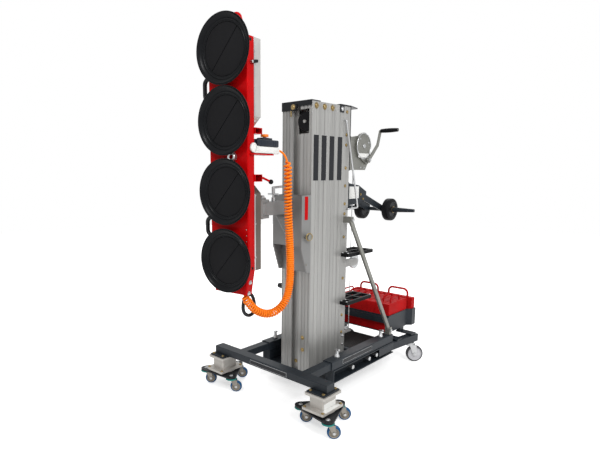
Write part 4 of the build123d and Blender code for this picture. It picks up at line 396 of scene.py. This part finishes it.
def wind(points):
    """Wire wound round a line: straight leads at both ends, a coil between, open turns above."""
    total = line_length(points)
    wound = [points[0]]
    side = Vector((1, 0, 0))
    travelled = 0.0
    angle = 0.0
    next_angle = 0.0
    for a, b in zip(points, points[1:]):
        step = (b - a).length
        ahead = (b - a).normalized()
        side = (side - ahead * side.dot(ahead)).normalized()
        up = ahead.cross(side)
        inside = min(travelled - LEAD_IN, total - LEAD_OUT - travelled)
        swell = unit(inside / SWELL_LENGTH)
        share = unit((travelled - LEAD_IN) / OPEN_LENGTH)
        belly = unit((travelled / total - BELLY_FROM) / BELLY_RAMP)
        hang = OPEN_PITCH + (TIGHT_PITCH - OPEN_PITCH) * share
        pitch = hang + (BELLY_PITCH - hang) * belly
        if swell == 0.0:
            if travelled + step < LEAD_IN or travelled > total - LEAD_OUT:
                wound.append(b)
            travelled += step
            continue
        turned = 2 * math.pi * step / pitch
        while next_angle < angle + turned:
            part = (next_angle - angle) / turned
            spoke = side * math.cos(next_angle) + up * math.sin(next_angle)
            wound.append(a.lerp(b, part) + spoke * (COIL_R * swell))
            next_angle += 2 * math.pi / TURN_POINTS
        angle += turned
        travelled += step
    if (points[-1] - wound[-1]).length > SAME_POINT:
        wound.append(points[-1])
    return wound


route = nurbs_curve("cord_route", CORD_ROUTE, 48)
route_points = read_line(route)
bpy.data.objects.remove(route)
curly_cord = nurbs_curve("curly_cord_wire", wind(route_points), 3)
cord_length = line_length(read_line(curly_cord))
curly_cord.data.bevel_depth = WIRE_R
curly_cord.data.bevel_resolution = 2
curly_cord.data.use_fill_caps = True
curly_cord.data.materials.append(CORD_ORANGE)
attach(curly_cord, "head")
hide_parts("curly_cord")
print("cord route", round(line_length(route_points), 3), "m, wire", round(cord_length, 2), "m")

# %% [markdown]
# The rest of the lesson adds what solids alone don't show: rubber lips, bolt heads, two-tone shells and
# treads. All of it is built from three small moves: a profile spun about an axis, a box with softened
# edges, and a rod between two points. Each helper adds to a bmesh that is already open, so many small
# things can share one object, and a frame matrix puts each of them where it belongs.

# %% Three building moves
def facing(at, axis):
    """Matrix that puts local Z along an axis at a place."""
    turn = Vector(axis).to_track_quat("Z", "Y").to_matrix().to_4x4()
    return Matrix.Translation(Vector(at)) @ turn


def settle(bm, before, matrix, mat=0):
    """Place everything added since a moment, close its poles and face it outwards."""
    fresh = [v for v in bm.verts if v not in before]
    bmesh.ops.transform(bm, matrix=matrix, verts=fresh)
    bmesh.ops.remove_doubles(bm, verts=fresh, dist=0.00001)
    faces = [f for f in bm.faces if any(v not in before for v in f.verts)]
    bmesh.ops.recalc_face_normals(bm, faces=faces)
    for face in faces:
        face.material_index = mat
    return faces


def spun(bm, profile, matrix, steps=32, mat=0, closed=False):
    """Spin a profile of (radius, height) pairs about local Z."""
    before = set(bm.verts)
    verts = [bm.verts.new((r, 0, h)) for r, h in profile]
    pairs = list(zip(verts, verts[1:]))
    if closed:
        pairs.append((verts[-1], verts[0]))
    edges = [bm.edges.new(pair) for pair in pairs]
    bmesh.ops.spin(
        bm, geom=verts + edges, cent=(0, 0, 0), axis=(0, 0, 1), angle=2 * math.pi, steps=steps,
        use_merge=True, use_duplicate=False,
    )
    return settle(bm, before, matrix, mat)


def block(bm, low, high, edge, matrix=Matrix(), mat=0, segments=2):
    """Box between two corners with softened edges."""
    before = set(bm.verts)
    low, high = Vector(low), Vector(high)
    size = Matrix.Diagonal((*(high - low), 1))
    made = bmesh.ops.create_cube(bm, size=1, matrix=Matrix.Translation((low + high) / 2) @ size)
    rims = list({e for v in made["verts"] for e in v.link_edges})
    bmesh.ops.bevel(
        bm, geom=rims, offset=edge, segments=segments, profile=0.5, affect="EDGES", material=-1,
    )
    return settle(bm, before, matrix, mat)


def rod(bm, a, b, radius, mat=0, steps=16, tip=None):
    """Round bar between two points with chamfered ends."""
    a, b = Vector(a), Vector(b)
    length = (b - a).length
    rim = 0.15 * radius if tip is None else tip
    profile = [
        (0, 0), (radius - rim, 0), (radius, rim),
        (radius, length - rim), (radius - rim, length), (0, length),
    ]
    return spun(bm, profile, facing(a, b - a), steps, mat)


def piece(name, bm, body, slot, *mats):
    """Finished mesh that rides on a body and wears its finishes."""
    obj = link(name, bm)
    for mat in mats:
        obj.data.materials.append(mat)
    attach(obj, body)
    return obj


# %% [markdown]
# The head hangs on a pivot and stands eight degrees to the left. Its pieces are easier to lay out
# square to the axes, so we build them as if the head looked straight ahead and swing them at the end
# with one matrix about the same pivot that the solids were swung about.

# %% The head's own frame
PIVOT = Vector((0, -0.473, 0))
SWING = Matrix.Rotation(math.radians(8), 4, "Z")
HEAD = Matrix.Translation(PIVOT) @ SWING @ Matrix.Translation(-PIVOT)
BEAM_FRONT = -0.718
BEAM_HALF = 0.110


def head_piece(name, bm, slot, *mats):
    """Finished mesh that was laid out square and swings with the head."""
    bmesh.ops.transform(bm, matrix=HEAD, verts=bm.verts)
    return piece(name, bm, "head", slot, *mats)


print("head swings about", tuple(PIVOT))

# %% [markdown]
# A suction pad is a rubber cup: a stiff back, a wide cone that flares to a thin lip, two rings inside
# that seal one after the other, and a flat floor. Its section is one profile spun through a full turn.
# The floor is a separate foam disc, cut in two by a slanting channel that lets the air out.

# %% Suction pads
PAD_R = 0.147
PAD_HEIGHTS = (1.736, 1.441, 1.135, 0.825)
PAD_PROFILE = (
    (0, 0.0), (0.46, 0.0), (0.60, 0.0), (0.625, 0.0015), (0.80, 0.0105), (0.90, 0.0200), (0.955, 0.0262),
    (0.985, 0.0300), (1.0, 0.0330), (1.0, 0.0345), (0.992, 0.0350), (0.980, 0.0347), (0.966, 0.0322),
    (0.943, 0.0286), (0.915, 0.0254), (0.885, 0.0230), (0.862, 0.0214), (0.847, 0.0208), (0.840, 0.0214),
    (0.832, 0.0224), (0.817, 0.0224), (0.807, 0.0212), (0.797, 0.0200), (0.782, 0.0196), (0.774, 0.0204),
    (0.762, 0.0211), (0.752, 0.0209), (0.744, 0.0196), (0.740, 0.0160), (0, 0.0160),
)
FLOOR_R = 0.732 * PAD_R
FLOOR_DEPTH = 0.0160
FLOOR_T = 0.0032
FLOOR_EDGE = 0.0009
CHANNEL_HALF = 0.0016
CHANNEL_LEAN = math.radians(41)


def half_floor(bm, hand, matrix):
    """Half of a foam disc on one side of the channel."""
    before = set(bm.verts)
    bmesh.ops.create_circle(bm, cap_ends=True, radius=FLOOR_R, segments=96)
    fresh = [v for v in bm.verts if v not in before]
    edges = list({e for v in fresh for e in v.link_edges})
    disc = fresh + edges + list({f for v in fresh for f in v.link_faces})
    bmesh.ops.bisect_plane(
        bm, geom=disc, plane_co=(hand * CHANNEL_HALF, 0, 0), plane_no=(-hand, 0, 0), clear_outer=True,
    )
    half = [f for f in bm.faces if f.verts[0] not in before]
    grown = bmesh.ops.extrude_face_region(bm, geom=half)
    top = [v for v in grown["geom"] if isinstance(v, bmesh.types.BMVert)]
    bmesh.ops.translate(bm, verts=top, vec=(0, 0, FLOOR_T))
    rims = [e for v in top for e in v.link_edges if all(w in top for w in e.verts)]
    bmesh.ops.bevel(
        bm, geom=list(set(rims)), offset=FLOOR_EDGE, segments=2, profile=0.5, affect="EDGES",
        material=-1,
    )
    settle(bm, before, matrix)


cups = bmesh.new()
floors = bmesh.new()
LEANING = Matrix.Rotation(CHANNEL_LEAN, 4, "Y") @ Matrix.Rotation(math.radians(90), 4, "X")
for height in PAD_HEIGHTS:
    place = facing((0, BEAM_FRONT, height), (0, -1, 0))
    spun(cups, [(r * PAD_R, h) for r, h in PAD_PROFILE], place, steps=96)
    for hand in (1, -1):
        half_floor(floors, hand, Matrix.Translation((0, BEAM_FRONT - FLOOR_DEPTH, height)) @ LEANING)
pads = head_piece("suction_pads", cups, "pad_rubber", PAD_RUBBER)
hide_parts("pads")
head_piece("pad_floors", floors, "pad_rubber", PAD_FOAM)
print("pads", len(PAD_HEIGHTS), "of radius", PAD_R)

# %% [markdown]
# The control box is moulded in two shells: a white tray with a round knuckle at its front and a dark
# lid with a raised island for the stop button. Soft moulded edges are what make it read as plastic, so
# each part is a block with rounded edges, and the knuckle is a spun disc.

# %% Control box
BOX_LOW_Z = 1.3045
BOX_SPLIT_Z = 1.334
box_bm = bmesh.new()
block(box_bm, (0.072, -0.672, BOX_LOW_Z), (0.122, -0.493, BOX_SPLIT_Z), 0.004)
knuckle_profile = [
    (0, 0), (0.0175, 0), (0.021, 0.003), (0.021, 0.010), (0.0175, 0.0125), (0.012, 0.0125),
    (0.011, 0.0115), (0, 0.0115),
]
spun(box_bm, knuckle_profile, facing((0.1095, -0.686, 1.327), (1, 0, 0)), steps=40)
block(box_bm, (0.1095, -0.686, BOX_LOW_Z), (0.122, -0.65, BOX_SPLIT_Z + 0.001), 0.002)
block(box_bm, (0.074, -0.662, BOX_SPLIT_Z + 0.0006), (0.121, -0.496, 1.366), 0.006, mat=1, segments=3)
block(box_bm, (0.071, -0.702, 1.3065), (0.109, -0.655, 1.362), 0.008, mat=1, segments=3)
block(box_bm, (0.077, -0.613, 1.362), (0.117, -0.543, 1.3742), 0.004, mat=1, segments=3)
for seam in (-0.632, -0.606, -0.540, -0.524):
    block(box_bm, (0.1195, seam - 0.0008, 1.339), (0.1218, seam + 0.0008, 1.361), 0.0004, mat=1)
collar_profile = [(0.0115, 0), (0.0195, 0), (0.0195, 0.0006), (0.0190, 0.0009), (0.0115, 0.0009)]
collar_place = facing((0.097, -0.578, 1.3738), (0, 0, 1))
spun(box_bm, collar_profile, collar_place, steps=32, mat=2, closed=True)
block(box_bm, (0.076, -0.668, 1.3032), (0.121, -0.545, 1.3046), 0.0005, mat=3)
control = head_piece(
    "control_shells", box_bm, "white_plastic", WHITE_SHELL, NAVY_SHELL, RED_PAINT, MAT_RUBBER,
)
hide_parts("control_box")
print("control box", len(control.data.polygons), "faces")

# %% [markdown]
# Ten wheels are built anew, and they are three kinds of the same thing: a hard core, a tread cast
# round it and a hub on the axle. One spun section serves them all, with the finish chosen by how far
# a face lies from the axle. Place and axle come from the joint that each wheel rolls on, so the new
# wheel turns about exactly the same line as the solid that it stands for.

# %% Wheels
JOINTS = {j["name"]: j for j in frame["joints"]}
# radius, width, tread depth and bore
DOLLY_WHEEL = (0.033, 0.024, 0.0085, 0.0051)
REAR_WHEEL = (0.054, 0.032, 0.011, 0.0071)
LOADING_WHEEL = (0.070, 0.050, 0.022, 0.0121)


def wheel_section(radius, width, tread, bore):
    """Half section of a wheel: hub, dished web and a rounded tread."""
    half = 0.5 * width
    rim = radius - tread
    hub = bore + 0.005
    side = [
        (bore, half), (hub - 0.001, half), (hub, half - 0.001), (hub + 0.002, half - 0.005),
        (rim - 0.006, half - 0.005), (rim - 0.003, half - 0.001), (rim - 0.002, half), (rim, half),
        (rim + 0.3 * tread, half - 0.0005), (rim + 0.7 * tread, half - 0.0025),
        (rim + 0.92 * tread, half - 0.006), (radius, half - 0.011),
    ]
    return side + [(r, -h) for r, h in reversed(side)]


def wheel(node, size, slot, *mats):
    """Replace a wheel's solid by tread, core and hub."""
    roll = JOINTS[node + "_roll"]
    radius, _, tread, bore = size
    middle = Vector(roll["pos_m"])
    axle = Vector(roll["axis"]).normalized()
    bm = bmesh.new()
    for face in spun(bm, wheel_section(*size), facing(middle, roll["axis"]), 48, closed=True):
        arm = face.calc_center_median() - middle
        reach = (arm - axle * arm.dot(axle)).length
        if reach > radius - tread - 0.0005:
            face.material_index = 0
        elif reach < bore + 0.006:
            face.material_index = 2
        else:
            face.material_index = 1
    obj = piece(node + "_tread", bm, node, slot, *mats)
    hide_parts(node)
    return obj


for side in SIDES:
    for corner in CORNERS:
        dolly = f"dolly_wheel_{side}_{corner}"
        wheel(dolly, DOLLY_WHEEL, "blue_wheel", BLUE_TREAD, CREAM_CORE, ZINC)
    wheel("rear_wheel_" + side, REAR_WHEEL, "grey_wheel", GREY_TREAD, PALE_CORE, BLACK_PLASTIC)
    loading = "loading_wheel_" + side
    wheel(loading, LOADING_WHEEL, "black_plastic", BLACK_PLASTIC, BLACK_PAINT, BLACK_PAINT)

# %% [markdown]
# The casters show a dust ring between fork and plate, teal on the dollies, and an axle nut on each
# cheek. They turn with the fork, so ring and axle nuts ride on it.

# %% Caster rings and nuts
def hex_nut(bm, at, axis, across, height, mat=0):
    """Hexagonal nut with a chamfered top, standing on a face."""
    before = set(bm.verts)
    bmesh.ops.create_cone(
        bm, cap_ends=True, segments=6, radius1=across / 2, radius2=across / 2, depth=height,
        matrix=Matrix.Translation((0, 0, height / 2)),
    )
    fresh = [e for e in bm.edges if e.verts[0] not in before]
    top = [e for e in fresh if all(v.co.z > 0.6 * height for v in e.verts)]
    bmesh.ops.bevel(
        bm, geom=top, offset=0.12 * across, segments=2, profile=0.5, affect="EDGES", material=-1,
    )
    return settle(bm, before, facing(at, axis), mat)


def dome(bm, at, axis, radius, height, mat=0, steps=16):
    """Round bolt head on a flat washer."""
    profile = [
        (0, 0), (1.35 * radius, 0), (1.35 * radius, 0.18 * height), (radius, 0.24 * height),
        (0.97 * radius, 0.5 * height), (0.78 * radius, 0.82 * height), (0.4 * radius, height),
        (0, height),
    ]
    return spun(bm, profile, facing(at, axis), steps, mat)


def caster_trim(fork, wheel_joint, ring_z, ring_r, ring_h, cheek, nut, mats):
    """Dust ring and axle nuts of one swivel caster."""
    swivel = JOINTS[fork + "_swivel"]["pos_m"]
    roll = JOINTS[wheel_joint]
    bm = bmesh.new()
    profile = [
        (ring_r - 0.008, 0), (ring_r - 0.001, 0), (ring_r, 0.001),
        (ring_r, ring_h - 0.001), (ring_r - 0.001, ring_h), (ring_r - 0.008, ring_h),
    ]
    place = facing((swivel[0], swivel[1], ring_z), (0, 0, 1))
    spun(bm, profile, place, steps=32, closed=True)
    for hand in (1, -1):
        out = hand * Vector(roll["axis"])
        hex_nut(bm, Vector(roll["pos_m"]) + out * cheek, out, nut, 0.3 * nut, 1)
    return piece(fork + "_trim", bm, fork, "zinc", *mats)


for side in SIDES:
    for corner in CORNERS:
        caster_trim(
            f"dolly_fork_{side}_{corner}", f"dolly_wheel_{side}_{corner}_roll", ring_z=0.0738,
            ring_r=0.0310, ring_h=0.0070, cheek=0.0155, nut=0.016, mats=(TEAL_RING, ZINC),
        )
    caster_trim(
        "rear_fork_" + side, f"rear_wheel_{side}_roll", ring_z=0.1215, ring_r=0.0300, ring_h=0.0080,
        cheek=0.0205, nut=0.020, mats=(ZINC, ZINC),
    )

# %% [markdown]
# A through bolt with a large domed head closes the top of each mast section, gold from its passivated
# zinc. Smaller bolts hold the rear rails down their whole length. Every bolt rides on the section that
# it is screwed into, so the heads part from one another as the mast rises. A dome is one short profile
# spun about the bolt's axis, which is cheap enough to repeat dozens of times.

# %% Mast bolts
SECTION_Y = {"mast_2": -0.0355, "mast_3": -0.104, "mast_4": -0.1725}
TOP_BOLT_Z = 1.5553
MAST_SIDE = 0.100
RAIL_Y = 0.0985
RAIL_BOLTS = (1.547, 1.425, 1.3706, 1.246, 1.148, 1.048, 0.992, 0.86, 0.62, 0.40, 0.296)

for body, middle in SECTION_Y.items():
    bm = bmesh.new()
    for hand in SIDES.values():
        dome(bm, (hand * MAST_SIDE, middle, TOP_BOLT_Z), (hand, 0, 0), 0.0115, 0.0095, steps=24)
    piece(body + "_top_bolts", bm, body, "gold_zinc", GOLD_ZINC)

rail_bm = bmesh.new()
for hand in SIDES.values():
    for height in RAIL_BOLTS:
        dome(rail_bm, (hand * MAST_SIDE, RAIL_Y, height), (hand, 0, 0), 0.0070, 0.0065)
    for height in (0.270, 0.219):
        dome(rail_bm, (hand * MAST_SIDE, 0.112, height), (hand, 0, 0), 0.0075, 0.007, mat=1)
    dome(rail_bm, (hand * 0.104, 0.049, 1.5587), (hand, 0, 0), 0.0085, 0.006, mat=1)
piece("rail_bolts", rail_bm, "base", "gold_zinc", GOLD_ZINC, ZINC)

FRONT_BOLTS = ((0.0547, -0.2062, 0.3263), (0.0558, -0.2062, 0.2578), (-0.0102, -0.1822, 0.1694))
front_bm = bmesh.new()
for at in FRONT_BOLTS:
    dome(front_bm, at, (0, -1, 0), 0.0088, 0.0075)
block(front_bm, (-0.034, -0.221, 1.5345), (0.006, -0.2112, 1.5665), 0.003, mat=1)
dome(front_bm, (-0.014, -0.221, 1.5525), (0, -1, 0), 0.0105, 0.007)
rod(front_bm, (-0.033, -0.2145, 1.506), (-0.033, -0.2145, 1.537), 0.0042)
dome(front_bm, (-0.1, -0.19, 1.5475), (-1, 0, 0), 0.005, 0.005)
hex_nut(front_bm, (0.046, -0.1955, 1.479), (0, -1, 0), 0.017, 0.0065)
bumper = [(0, 0), (0.0175, 0), (0.0170, 0.005), (0.0140, 0.0335), (0.0120, 0.036), (0, 0.036)]
spun(front_bm, bumper, facing((-0.1, -0.19, 0.590), (-1, 0, 0)), 28, mat=1)
piece("front_section_bolts", front_bm, "mast_4", "gold_zinc", GOLD_ZINC, BLACK_PAINT)
print("rail bolts", 2 * len(RAIL_BOLTS))

# %% [markdown]
# Long plates of dark sheet are stuck to the left side of each mast section and to the frame's tubes,
# and smaller ones to the carriage, the winch, a riser and the loading bracket. Each is a thin block
# with a hair of an edge, so it catches a line of light along its rim. The tee handle of the arm's clamp
# and the nut on the head's pivot are made here too, since they sit right beside the carriage.

# %% Bare plates
MAST_PLATES = {"base": 0.0385, "mast_2": -0.0345, "mast_3": -0.1035, "mast_4": -0.1705}
PLATE_HALF = 0.0205
PLATE_LOW_Z = 1.180
PLATE_HIGH_Z = 1.411


def plate(bm, low, high, mat=0):
    """Thin sheet between two corners."""
    block(bm, low, high, 0.00035, mat=mat, segments=1)


for body, middle in MAST_PLATES.items():
    bm = bmesh.new()
    plate(
        bm, (MAST_SIDE - 0.0002, middle - PLATE_HALF, PLATE_LOW_Z),
        (MAST_SIDE + 0.0010, middle + PLATE_HALF, PLATE_HIGH_Z),
    )
    piece(body + "_mast_plate", bm, body, "black_plastic", PLATE_BLACK)

frame_bm = bmesh.new()
plate(frame_bm, (0.2558, -0.106, 0.2015), (0.2568, 0.188, 0.2265), 2)
plate(frame_bm, (0.2562, -0.1046, 0.2029), (0.2574, 0.1866, 0.2251))
plate(frame_bm, (0.0554, 0.292, 1.310), (0.0566, 0.402, 1.3345), 1)
plate(frame_bm, (0.0629, 0.196, 1.071), (0.0641, 0.296, 1.141), 1)
piece("frame_plates", frame_bm, "base", "black_plastic", PLATE_BLACK, WHITE_SHELL, ZINC)

bar_bm = bmesh.new()
plate(bar_bm, (-0.115, -0.4438, 0.1975), (0.146, -0.4428, 0.2215), 1)
plate(bar_bm, (-0.1136, -0.4444, 0.1989), (0.1446, -0.4432, 0.2201))
plate(bar_bm, (0.3975, -0.4730, 0.1108), (0.4185, -0.3530, 0.1118), 2)
plate(bar_bm, (0.3966, -0.4590, 0.1110), (0.3977, -0.3670, 0.1420), 2)
piece("crossbar_plate", bar_bm, "front", "black_plastic", PLATE_BLACK, ZINC, WHITE_SHELL)

mark_bm = bmesh.new()
plate(mark_bm, (0.0998, -0.256, 0.980), (0.1010, -0.230, 1.100))
dome(mark_bm, (0.1, -0.238, 0.745), (1, 0, 0), 0.0055, 0.0045, mat=1)
dome(mark_bm, (-0.1, -0.264, 0.919), (-1, 0, 0), 0.0085, 0.009, mat=2)
piece("carriage_plate", mark_bm, "carriage", "red_paint", RED_PAINT, DULL_ZINC, GOLD_ZINC)

tee_bm = bmesh.new()
rod(tee_bm, (0, -0.385, 1.112), (0, -0.385, 1.150), 0.0090)
rod(tee_bm, (-0.006, -0.389, 1.146), (0.038, -0.360, 1.152), 0.0060)
piece("tee_handle", tee_bm, "knuckle_clamp", "zinc", ZINC)

pivot_bm = bmesh.new()
washer_profile = [(0, 0), (0.021, 0), (0.021, 0.0025), (0, 0.0025)]
spun(pivot_bm, washer_profile, facing((0, PIVOT.y, 1.098), (0, 0, 1)), 28)
hex_nut(pivot_bm, (0, PIVOT.y, 1.1003), (0, 0, 1), 0.034, 0.011)
piece("pivot_nut", pivot_bm, "knuckle", "zinc", ZINC)

# %% [markdown]
# The head's small fittings come next: the steel eye between the middle pads, the bolts along the edge
# of the sheet covers with the flange that they hold down, a real flange whose bright zinc is a painted
# reflection of the sky, the toggle on the beam's side, two square drain holes and the bolts of the
# tapered foot. They are laid out square and then swung with the head's matrix. The snap hook behind
# the foot is a bent bar, so a closed curve draws it best.

# %% Head fittings
def ring(bm, at, axis, radius, wire, mat=0, steps=40):
    """Round wire bent into a closed ring."""
    turn = [2 * math.pi * i / 10 for i in range(10)]
    profile = [(radius + wire * math.cos(t), wire * math.sin(t)) for t in turn]
    return spun(bm, profile, facing(at, axis), steps, mat, closed=True)


EYE_PROFILE = (
    (0.0101, 0), (0.0206, 0), (0.0206, 0.0160), (0.0190, 0.0180), (0.0130, 0.0180), (0.0101, 0.0160),
)
COVER_BOLTS = (1.7258, 1.5829, 1.440, 1.120, 0.9937, 0.8395)
SHEEN_FLANGE_SPANS = ((0.781, 1.126), (1.462, 1.781))
FLANGE_X = 0.1098
HOLE_HALF = 0.006

head_bm = bmesh.new()
spun(head_bm, EYE_PROFILE, facing((0.028, BEAM_FRONT, 1.288), (0, -1, 0)), 40, closed=True)
for hand in SIDES.values():
    for height in COVER_BOLTS:
        dome(head_bm, (hand * 0.1088, -0.667, height), (hand, 0, 0), 0.0042, 0.0045)
    for half, height in ((0.1018, 0.7272), (0.0932, 0.6755)):
        dome(head_bm, (hand * half, -0.697, height), (hand, 0, -0.165), 0.0075, 0.0075)
    for at_y, height in ((-0.697, 1.7685), (-0.690, 0.7928)):
        block(
            head_bm, (hand * BEAM_HALF - 0.0008, at_y - HOLE_HALF, height - HOLE_HALF),
            (hand * BEAM_HALF + 0.0008, at_y + HOLE_HALF, height + HOLE_HALF), 0.0005, mat=1,
        )
for height in (0.970, 0.943, 0.917):
    dome(head_bm, (0.0985, BEAM_FRONT, height), (0, -1, 0), 0.0019, 0.0022)
rod(head_bm, (0.109, -0.697, 1.679), (0.1245, -0.697, 1.679), 0.0060)
rod(head_bm, (0.1185, -0.697, 1.679), (0.1185, -0.658, 1.687), 0.0068, mat=1, tip=0.004)
rod(head_bm, (0.044, -0.680, 0.677), (0.044, -0.622, 0.645), 0.0070, mat=1)
# Flange strips of the covers: real folded flanges, whose bright zinc is a painted reflection of the sky.
for hand in SIDES.values():
    for low, high in SHEEN_FLANGE_SPANS:
        block(
            head_bm, (hand * FLANGE_X - 0.0011, -0.6735, low),
            (hand * FLANGE_X + 0.0007, -0.6655, high), 0.0005,
        )
head_piece("head_fittings", head_bm, "zinc", ZINC, BLACK_PLASTIC)

HOOK_OUTLINE = (
    (-0.621, 0.652), (-0.602, 0.634), (-0.592, 0.604), (-0.588, 0.576), (-0.600, 0.548), (-0.642, 0.546),
    (-0.678, 0.574), (-0.678, 0.616), (-0.663, 0.642), (-0.642, 0.654),
)
HOOK_X = 0.044
hook = nurbs_curve("snap_hook", [HEAD @ Vector((HOOK_X, y, z)) for y, z in HOOK_OUTLINE], 10)
hook.data.splines[0].use_endpoint_u = False
hook.data.splines[0].use_cyclic_u = True
hook.data.bevel_depth = 0.0084
hook.data.bevel_resolution = 3
hook.data.materials.append(BLACK_PAINT)
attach(hook, "head")

# %% [markdown]
# Some fittings move by themselves and so ride on their own bodies: the black ball on the lock lever,
# the split ring in the carriage's height pin, the nut on the crank's shaft and the wire wound on the
# winch drum. The wound wire is a row of closed rings, because a true helix would cost many more faces
# and can't be told from rings once the drum's flanges hide its ends.

# %% Ball, pull ring and winch drum
ball_bm = bmesh.new()
bmesh.ops.create_uvsphere(
    ball_bm, u_segments=24, v_segments=16, radius=0.0114,
    matrix=Matrix.Translation((0.114, -0.552, 1.178)),
)
bmesh.ops.transform(ball_bm, matrix=HEAD, verts=ball_bm.verts)
piece("lever_ball", ball_bm, "lock_lever", "black_plastic", BLACK_PLASTIC)

pull_bm = bmesh.new()
ring(pull_bm, (0.1225, -0.2436, 0.8935), (1, -0.3, 0), 0.0185, 0.0029)
piece("pull_ring", pull_bm, "height_pin", "gold_zinc", GOLD_ZINC)

DRUM = (0.3488, 1.377)
DRUM_TURNS = 13
FIRST_TURN_X = -0.0318
TURN_PITCH = 0.0053
wire_bm = bmesh.new()
for turn in range(DRUM_TURNS):
    at = (FIRST_TURN_X + TURN_PITCH * turn, *DRUM)
    ring(wire_bm, at, (1, 0, 0), 0.0245, 0.0025, steps=28)
axle_cap = [(0, 0), (0.0125, 0), (0.0125, 0.004), (0.0105, 0.0065), (0.006, 0.0075), (0, 0.0075)]
spun(wire_bm, axle_cap, facing((0.0556, *DRUM), (1, 0, 0)), 24)
piece("wound_wire", wire_bm, "winch_drum", "zinc", ZINC)

crank_bm = bmesh.new()
hex_nut(crank_bm, (0.0715, 0.3868, 1.2954), (1, 0, 0), 0.024, 0.009)
piece("crank_nut", crank_bm, "crank", "zinc", ZINC)
print("turns on the drum", DRUM_TURNS)

# %% [markdown]
# The winch has a pressed rim round its gear cover and a few screws. The loading axle carries a gold
# washer outside each wheel. Bright hexagon bolts hold the braces, and round heads hold the steps and
# the loading bracket. All of these stand still on the base, so they can share one object.

# %% Fasteners on the base
WINCH_SCREWS = (
    (0.0555, 0.3091, 1.4174), (0.0555, 0.398, 1.3985), (0.0440, 0.336, 1.2520), (0.0440, 0.372, 1.2520),
)
STEP_TOPS = (0.770, 0.488)
STEP_BOLTS = (
    (0.1065, 0.084), (0.1065, 0.124), (0.1435, 0.0825), (0.1435, 0.3295), (0.0185, 0.3295),
)
AXLE_WASHER = ((0.0123, 0), (0.0200, 0), (0.0200, 0.0020), (0.0123, 0.0020))

base_bm = bmesh.new()
ring(base_bm, (0.0562, *DRUM), (1, 0, 0), 0.0742, 0.0033, mat=1, steps=56)
for at in WINCH_SCREWS:
    dome(base_bm, at, (1, 0, 0), 0.0048, 0.005, mat=1)
for hand in SIDES.values():
    outside = facing((hand * 0.1275, 0.600, 0.990), (hand, 0, 0))
    spun(base_bm, AXLE_WASHER, outside, 28, closed=True)
    for at_y, height in ((0.318, 1.093), (0.345, 1.066)):
        dome(base_bm, (hand * 0.063, at_y, height), (hand, 0, 0), 0.0058, 0.0055)
    hex_nut(base_bm, (hand * 0.153, 0.102, 0.960), (hand, 0, 0), 0.022, 0.009, 1)
    hex_nut(base_bm, (hand * 0.249, 0.415, 0.262), (hand, 0, 0), 0.020, 0.008, 1)
for top in STEP_TOPS:
    for at in STEP_BOLTS:
        dome(base_bm, (*at, top), (0, 0, 1), 0.0042, 0.004, mat=1)
piece("base_fasteners", base_bm, "base", "gold_zinc", GOLD_ZINC, ZINC)

# %% [markdown]
# Down at the frame, three stout pins cross each side channel and end in a nut outside its flanges,
# plastic plugs close the rear tubes, and a ribbed rubber mat lies on the deck behind the mast. The
# mat is one thin block with a row of narrow blocks on it.

# %% Channel pins, tube plugs and deck mat
PIN_YS = (-0.005, 0.1665, 0.247)
PIN_Z = 0.153
TUBE_SPLAY = math.atan(32 / 265)
MAT_RIBS = 24
RIB_PITCH = 0.012
RIB_HALF = 0.0032

pin_bm = bmesh.new()
for hand in SIDES.values():
    for at_y in PIN_YS:
        rod(pin_bm, (hand * 0.2095, at_y, PIN_Z), (hand * 0.2500, at_y, PIN_Z), 0.0090)
        hex_nut(pin_bm, (hand * 0.2495, at_y, PIN_Z), (hand, 0, 0), 0.0265, 0.0100)
    tube_end = Matrix.Translation((hand * 0.2668, 0.7050, 0.156))
    splayed = tube_end @ Matrix.Rotation(-hand * TUBE_SPLAY, 4, "Z")
    block(pin_bm, (-0.0245, -0.001, -0.0245), (0.0245, 0.0035, 0.0245), 0.002, splayed, mat=1)
piece("channel_pins", pin_bm, "base", "zinc", ZINC, BLACK_PLASTIC)

mat_bm = bmesh.new()
block(mat_bm, (-0.143, 0.162, 0.1858), (0.143, 0.434, 0.1878), 0.0006, segments=1)
for i in range(MAT_RIBS):
    x = -0.138 + RIB_PITCH * i
    block(mat_bm, (x - RIB_HALF, 0.165, 0.1872), (x + RIB_HALF, 0.431, 0.1898), 0.0012, segments=1)
piece("deck_mat", mat_bm, "base", "black_plastic", MAT_RUBBER)
print("mat ribs", MAT_RIBS)

# %% [markdown]
# The front legs stand on cast risers that are bolted between the crossbar's end plates and the dolly
# turntables: gold bolts at the corners of both flanges. Each caster stem ends in a bright nut on top
# of the dolly plate.

# %% Riser bolts and stem nuts
RISER_X = 0.355
RISER_Y = -0.413
CORNER_SIGNS = ((-1, -1), (-1, 1), (1, -1), (1, 1))
STEM_NUT_Z = 0.0922
UP = (0, 0, 1)

riser_bm = bmesh.new()
for hand in SIDES.values():
    for dx, dy in CORNER_SIGNS:
        upper = (hand * RISER_X + dx * 0.038, RISER_Y + dy * 0.048, 0.191)
        lower = (hand * RISER_X + dx * 0.054, RISER_Y + dy * 0.072, 0.111)
        hex_nut(riser_bm, upper, UP, 0.0165, 0.0065)
        dome(riser_bm, lower, UP, 0.0062, 0.0065)
piece("riser_bolts", riser_bm, "front", "gold_zinc", GOLD_ZINC)
for side in SIDES:
    for corner in CORNERS:
        fork = f"dolly_fork_{side}_{corner}"
        stem_bm = bmesh.new()
        x, y = JOINTS[fork + "_swivel"]["pos_m"][:2]
        dome(stem_bm, (x, y, STEM_NUT_Z), UP, 0.0085, 0.0055)
        piece(fork + "_stem_nut", stem_bm, fork, "zinc", ZINC)
print("riser bolts", 2 * len(SIDES) * len(CORNER_SIGNS))
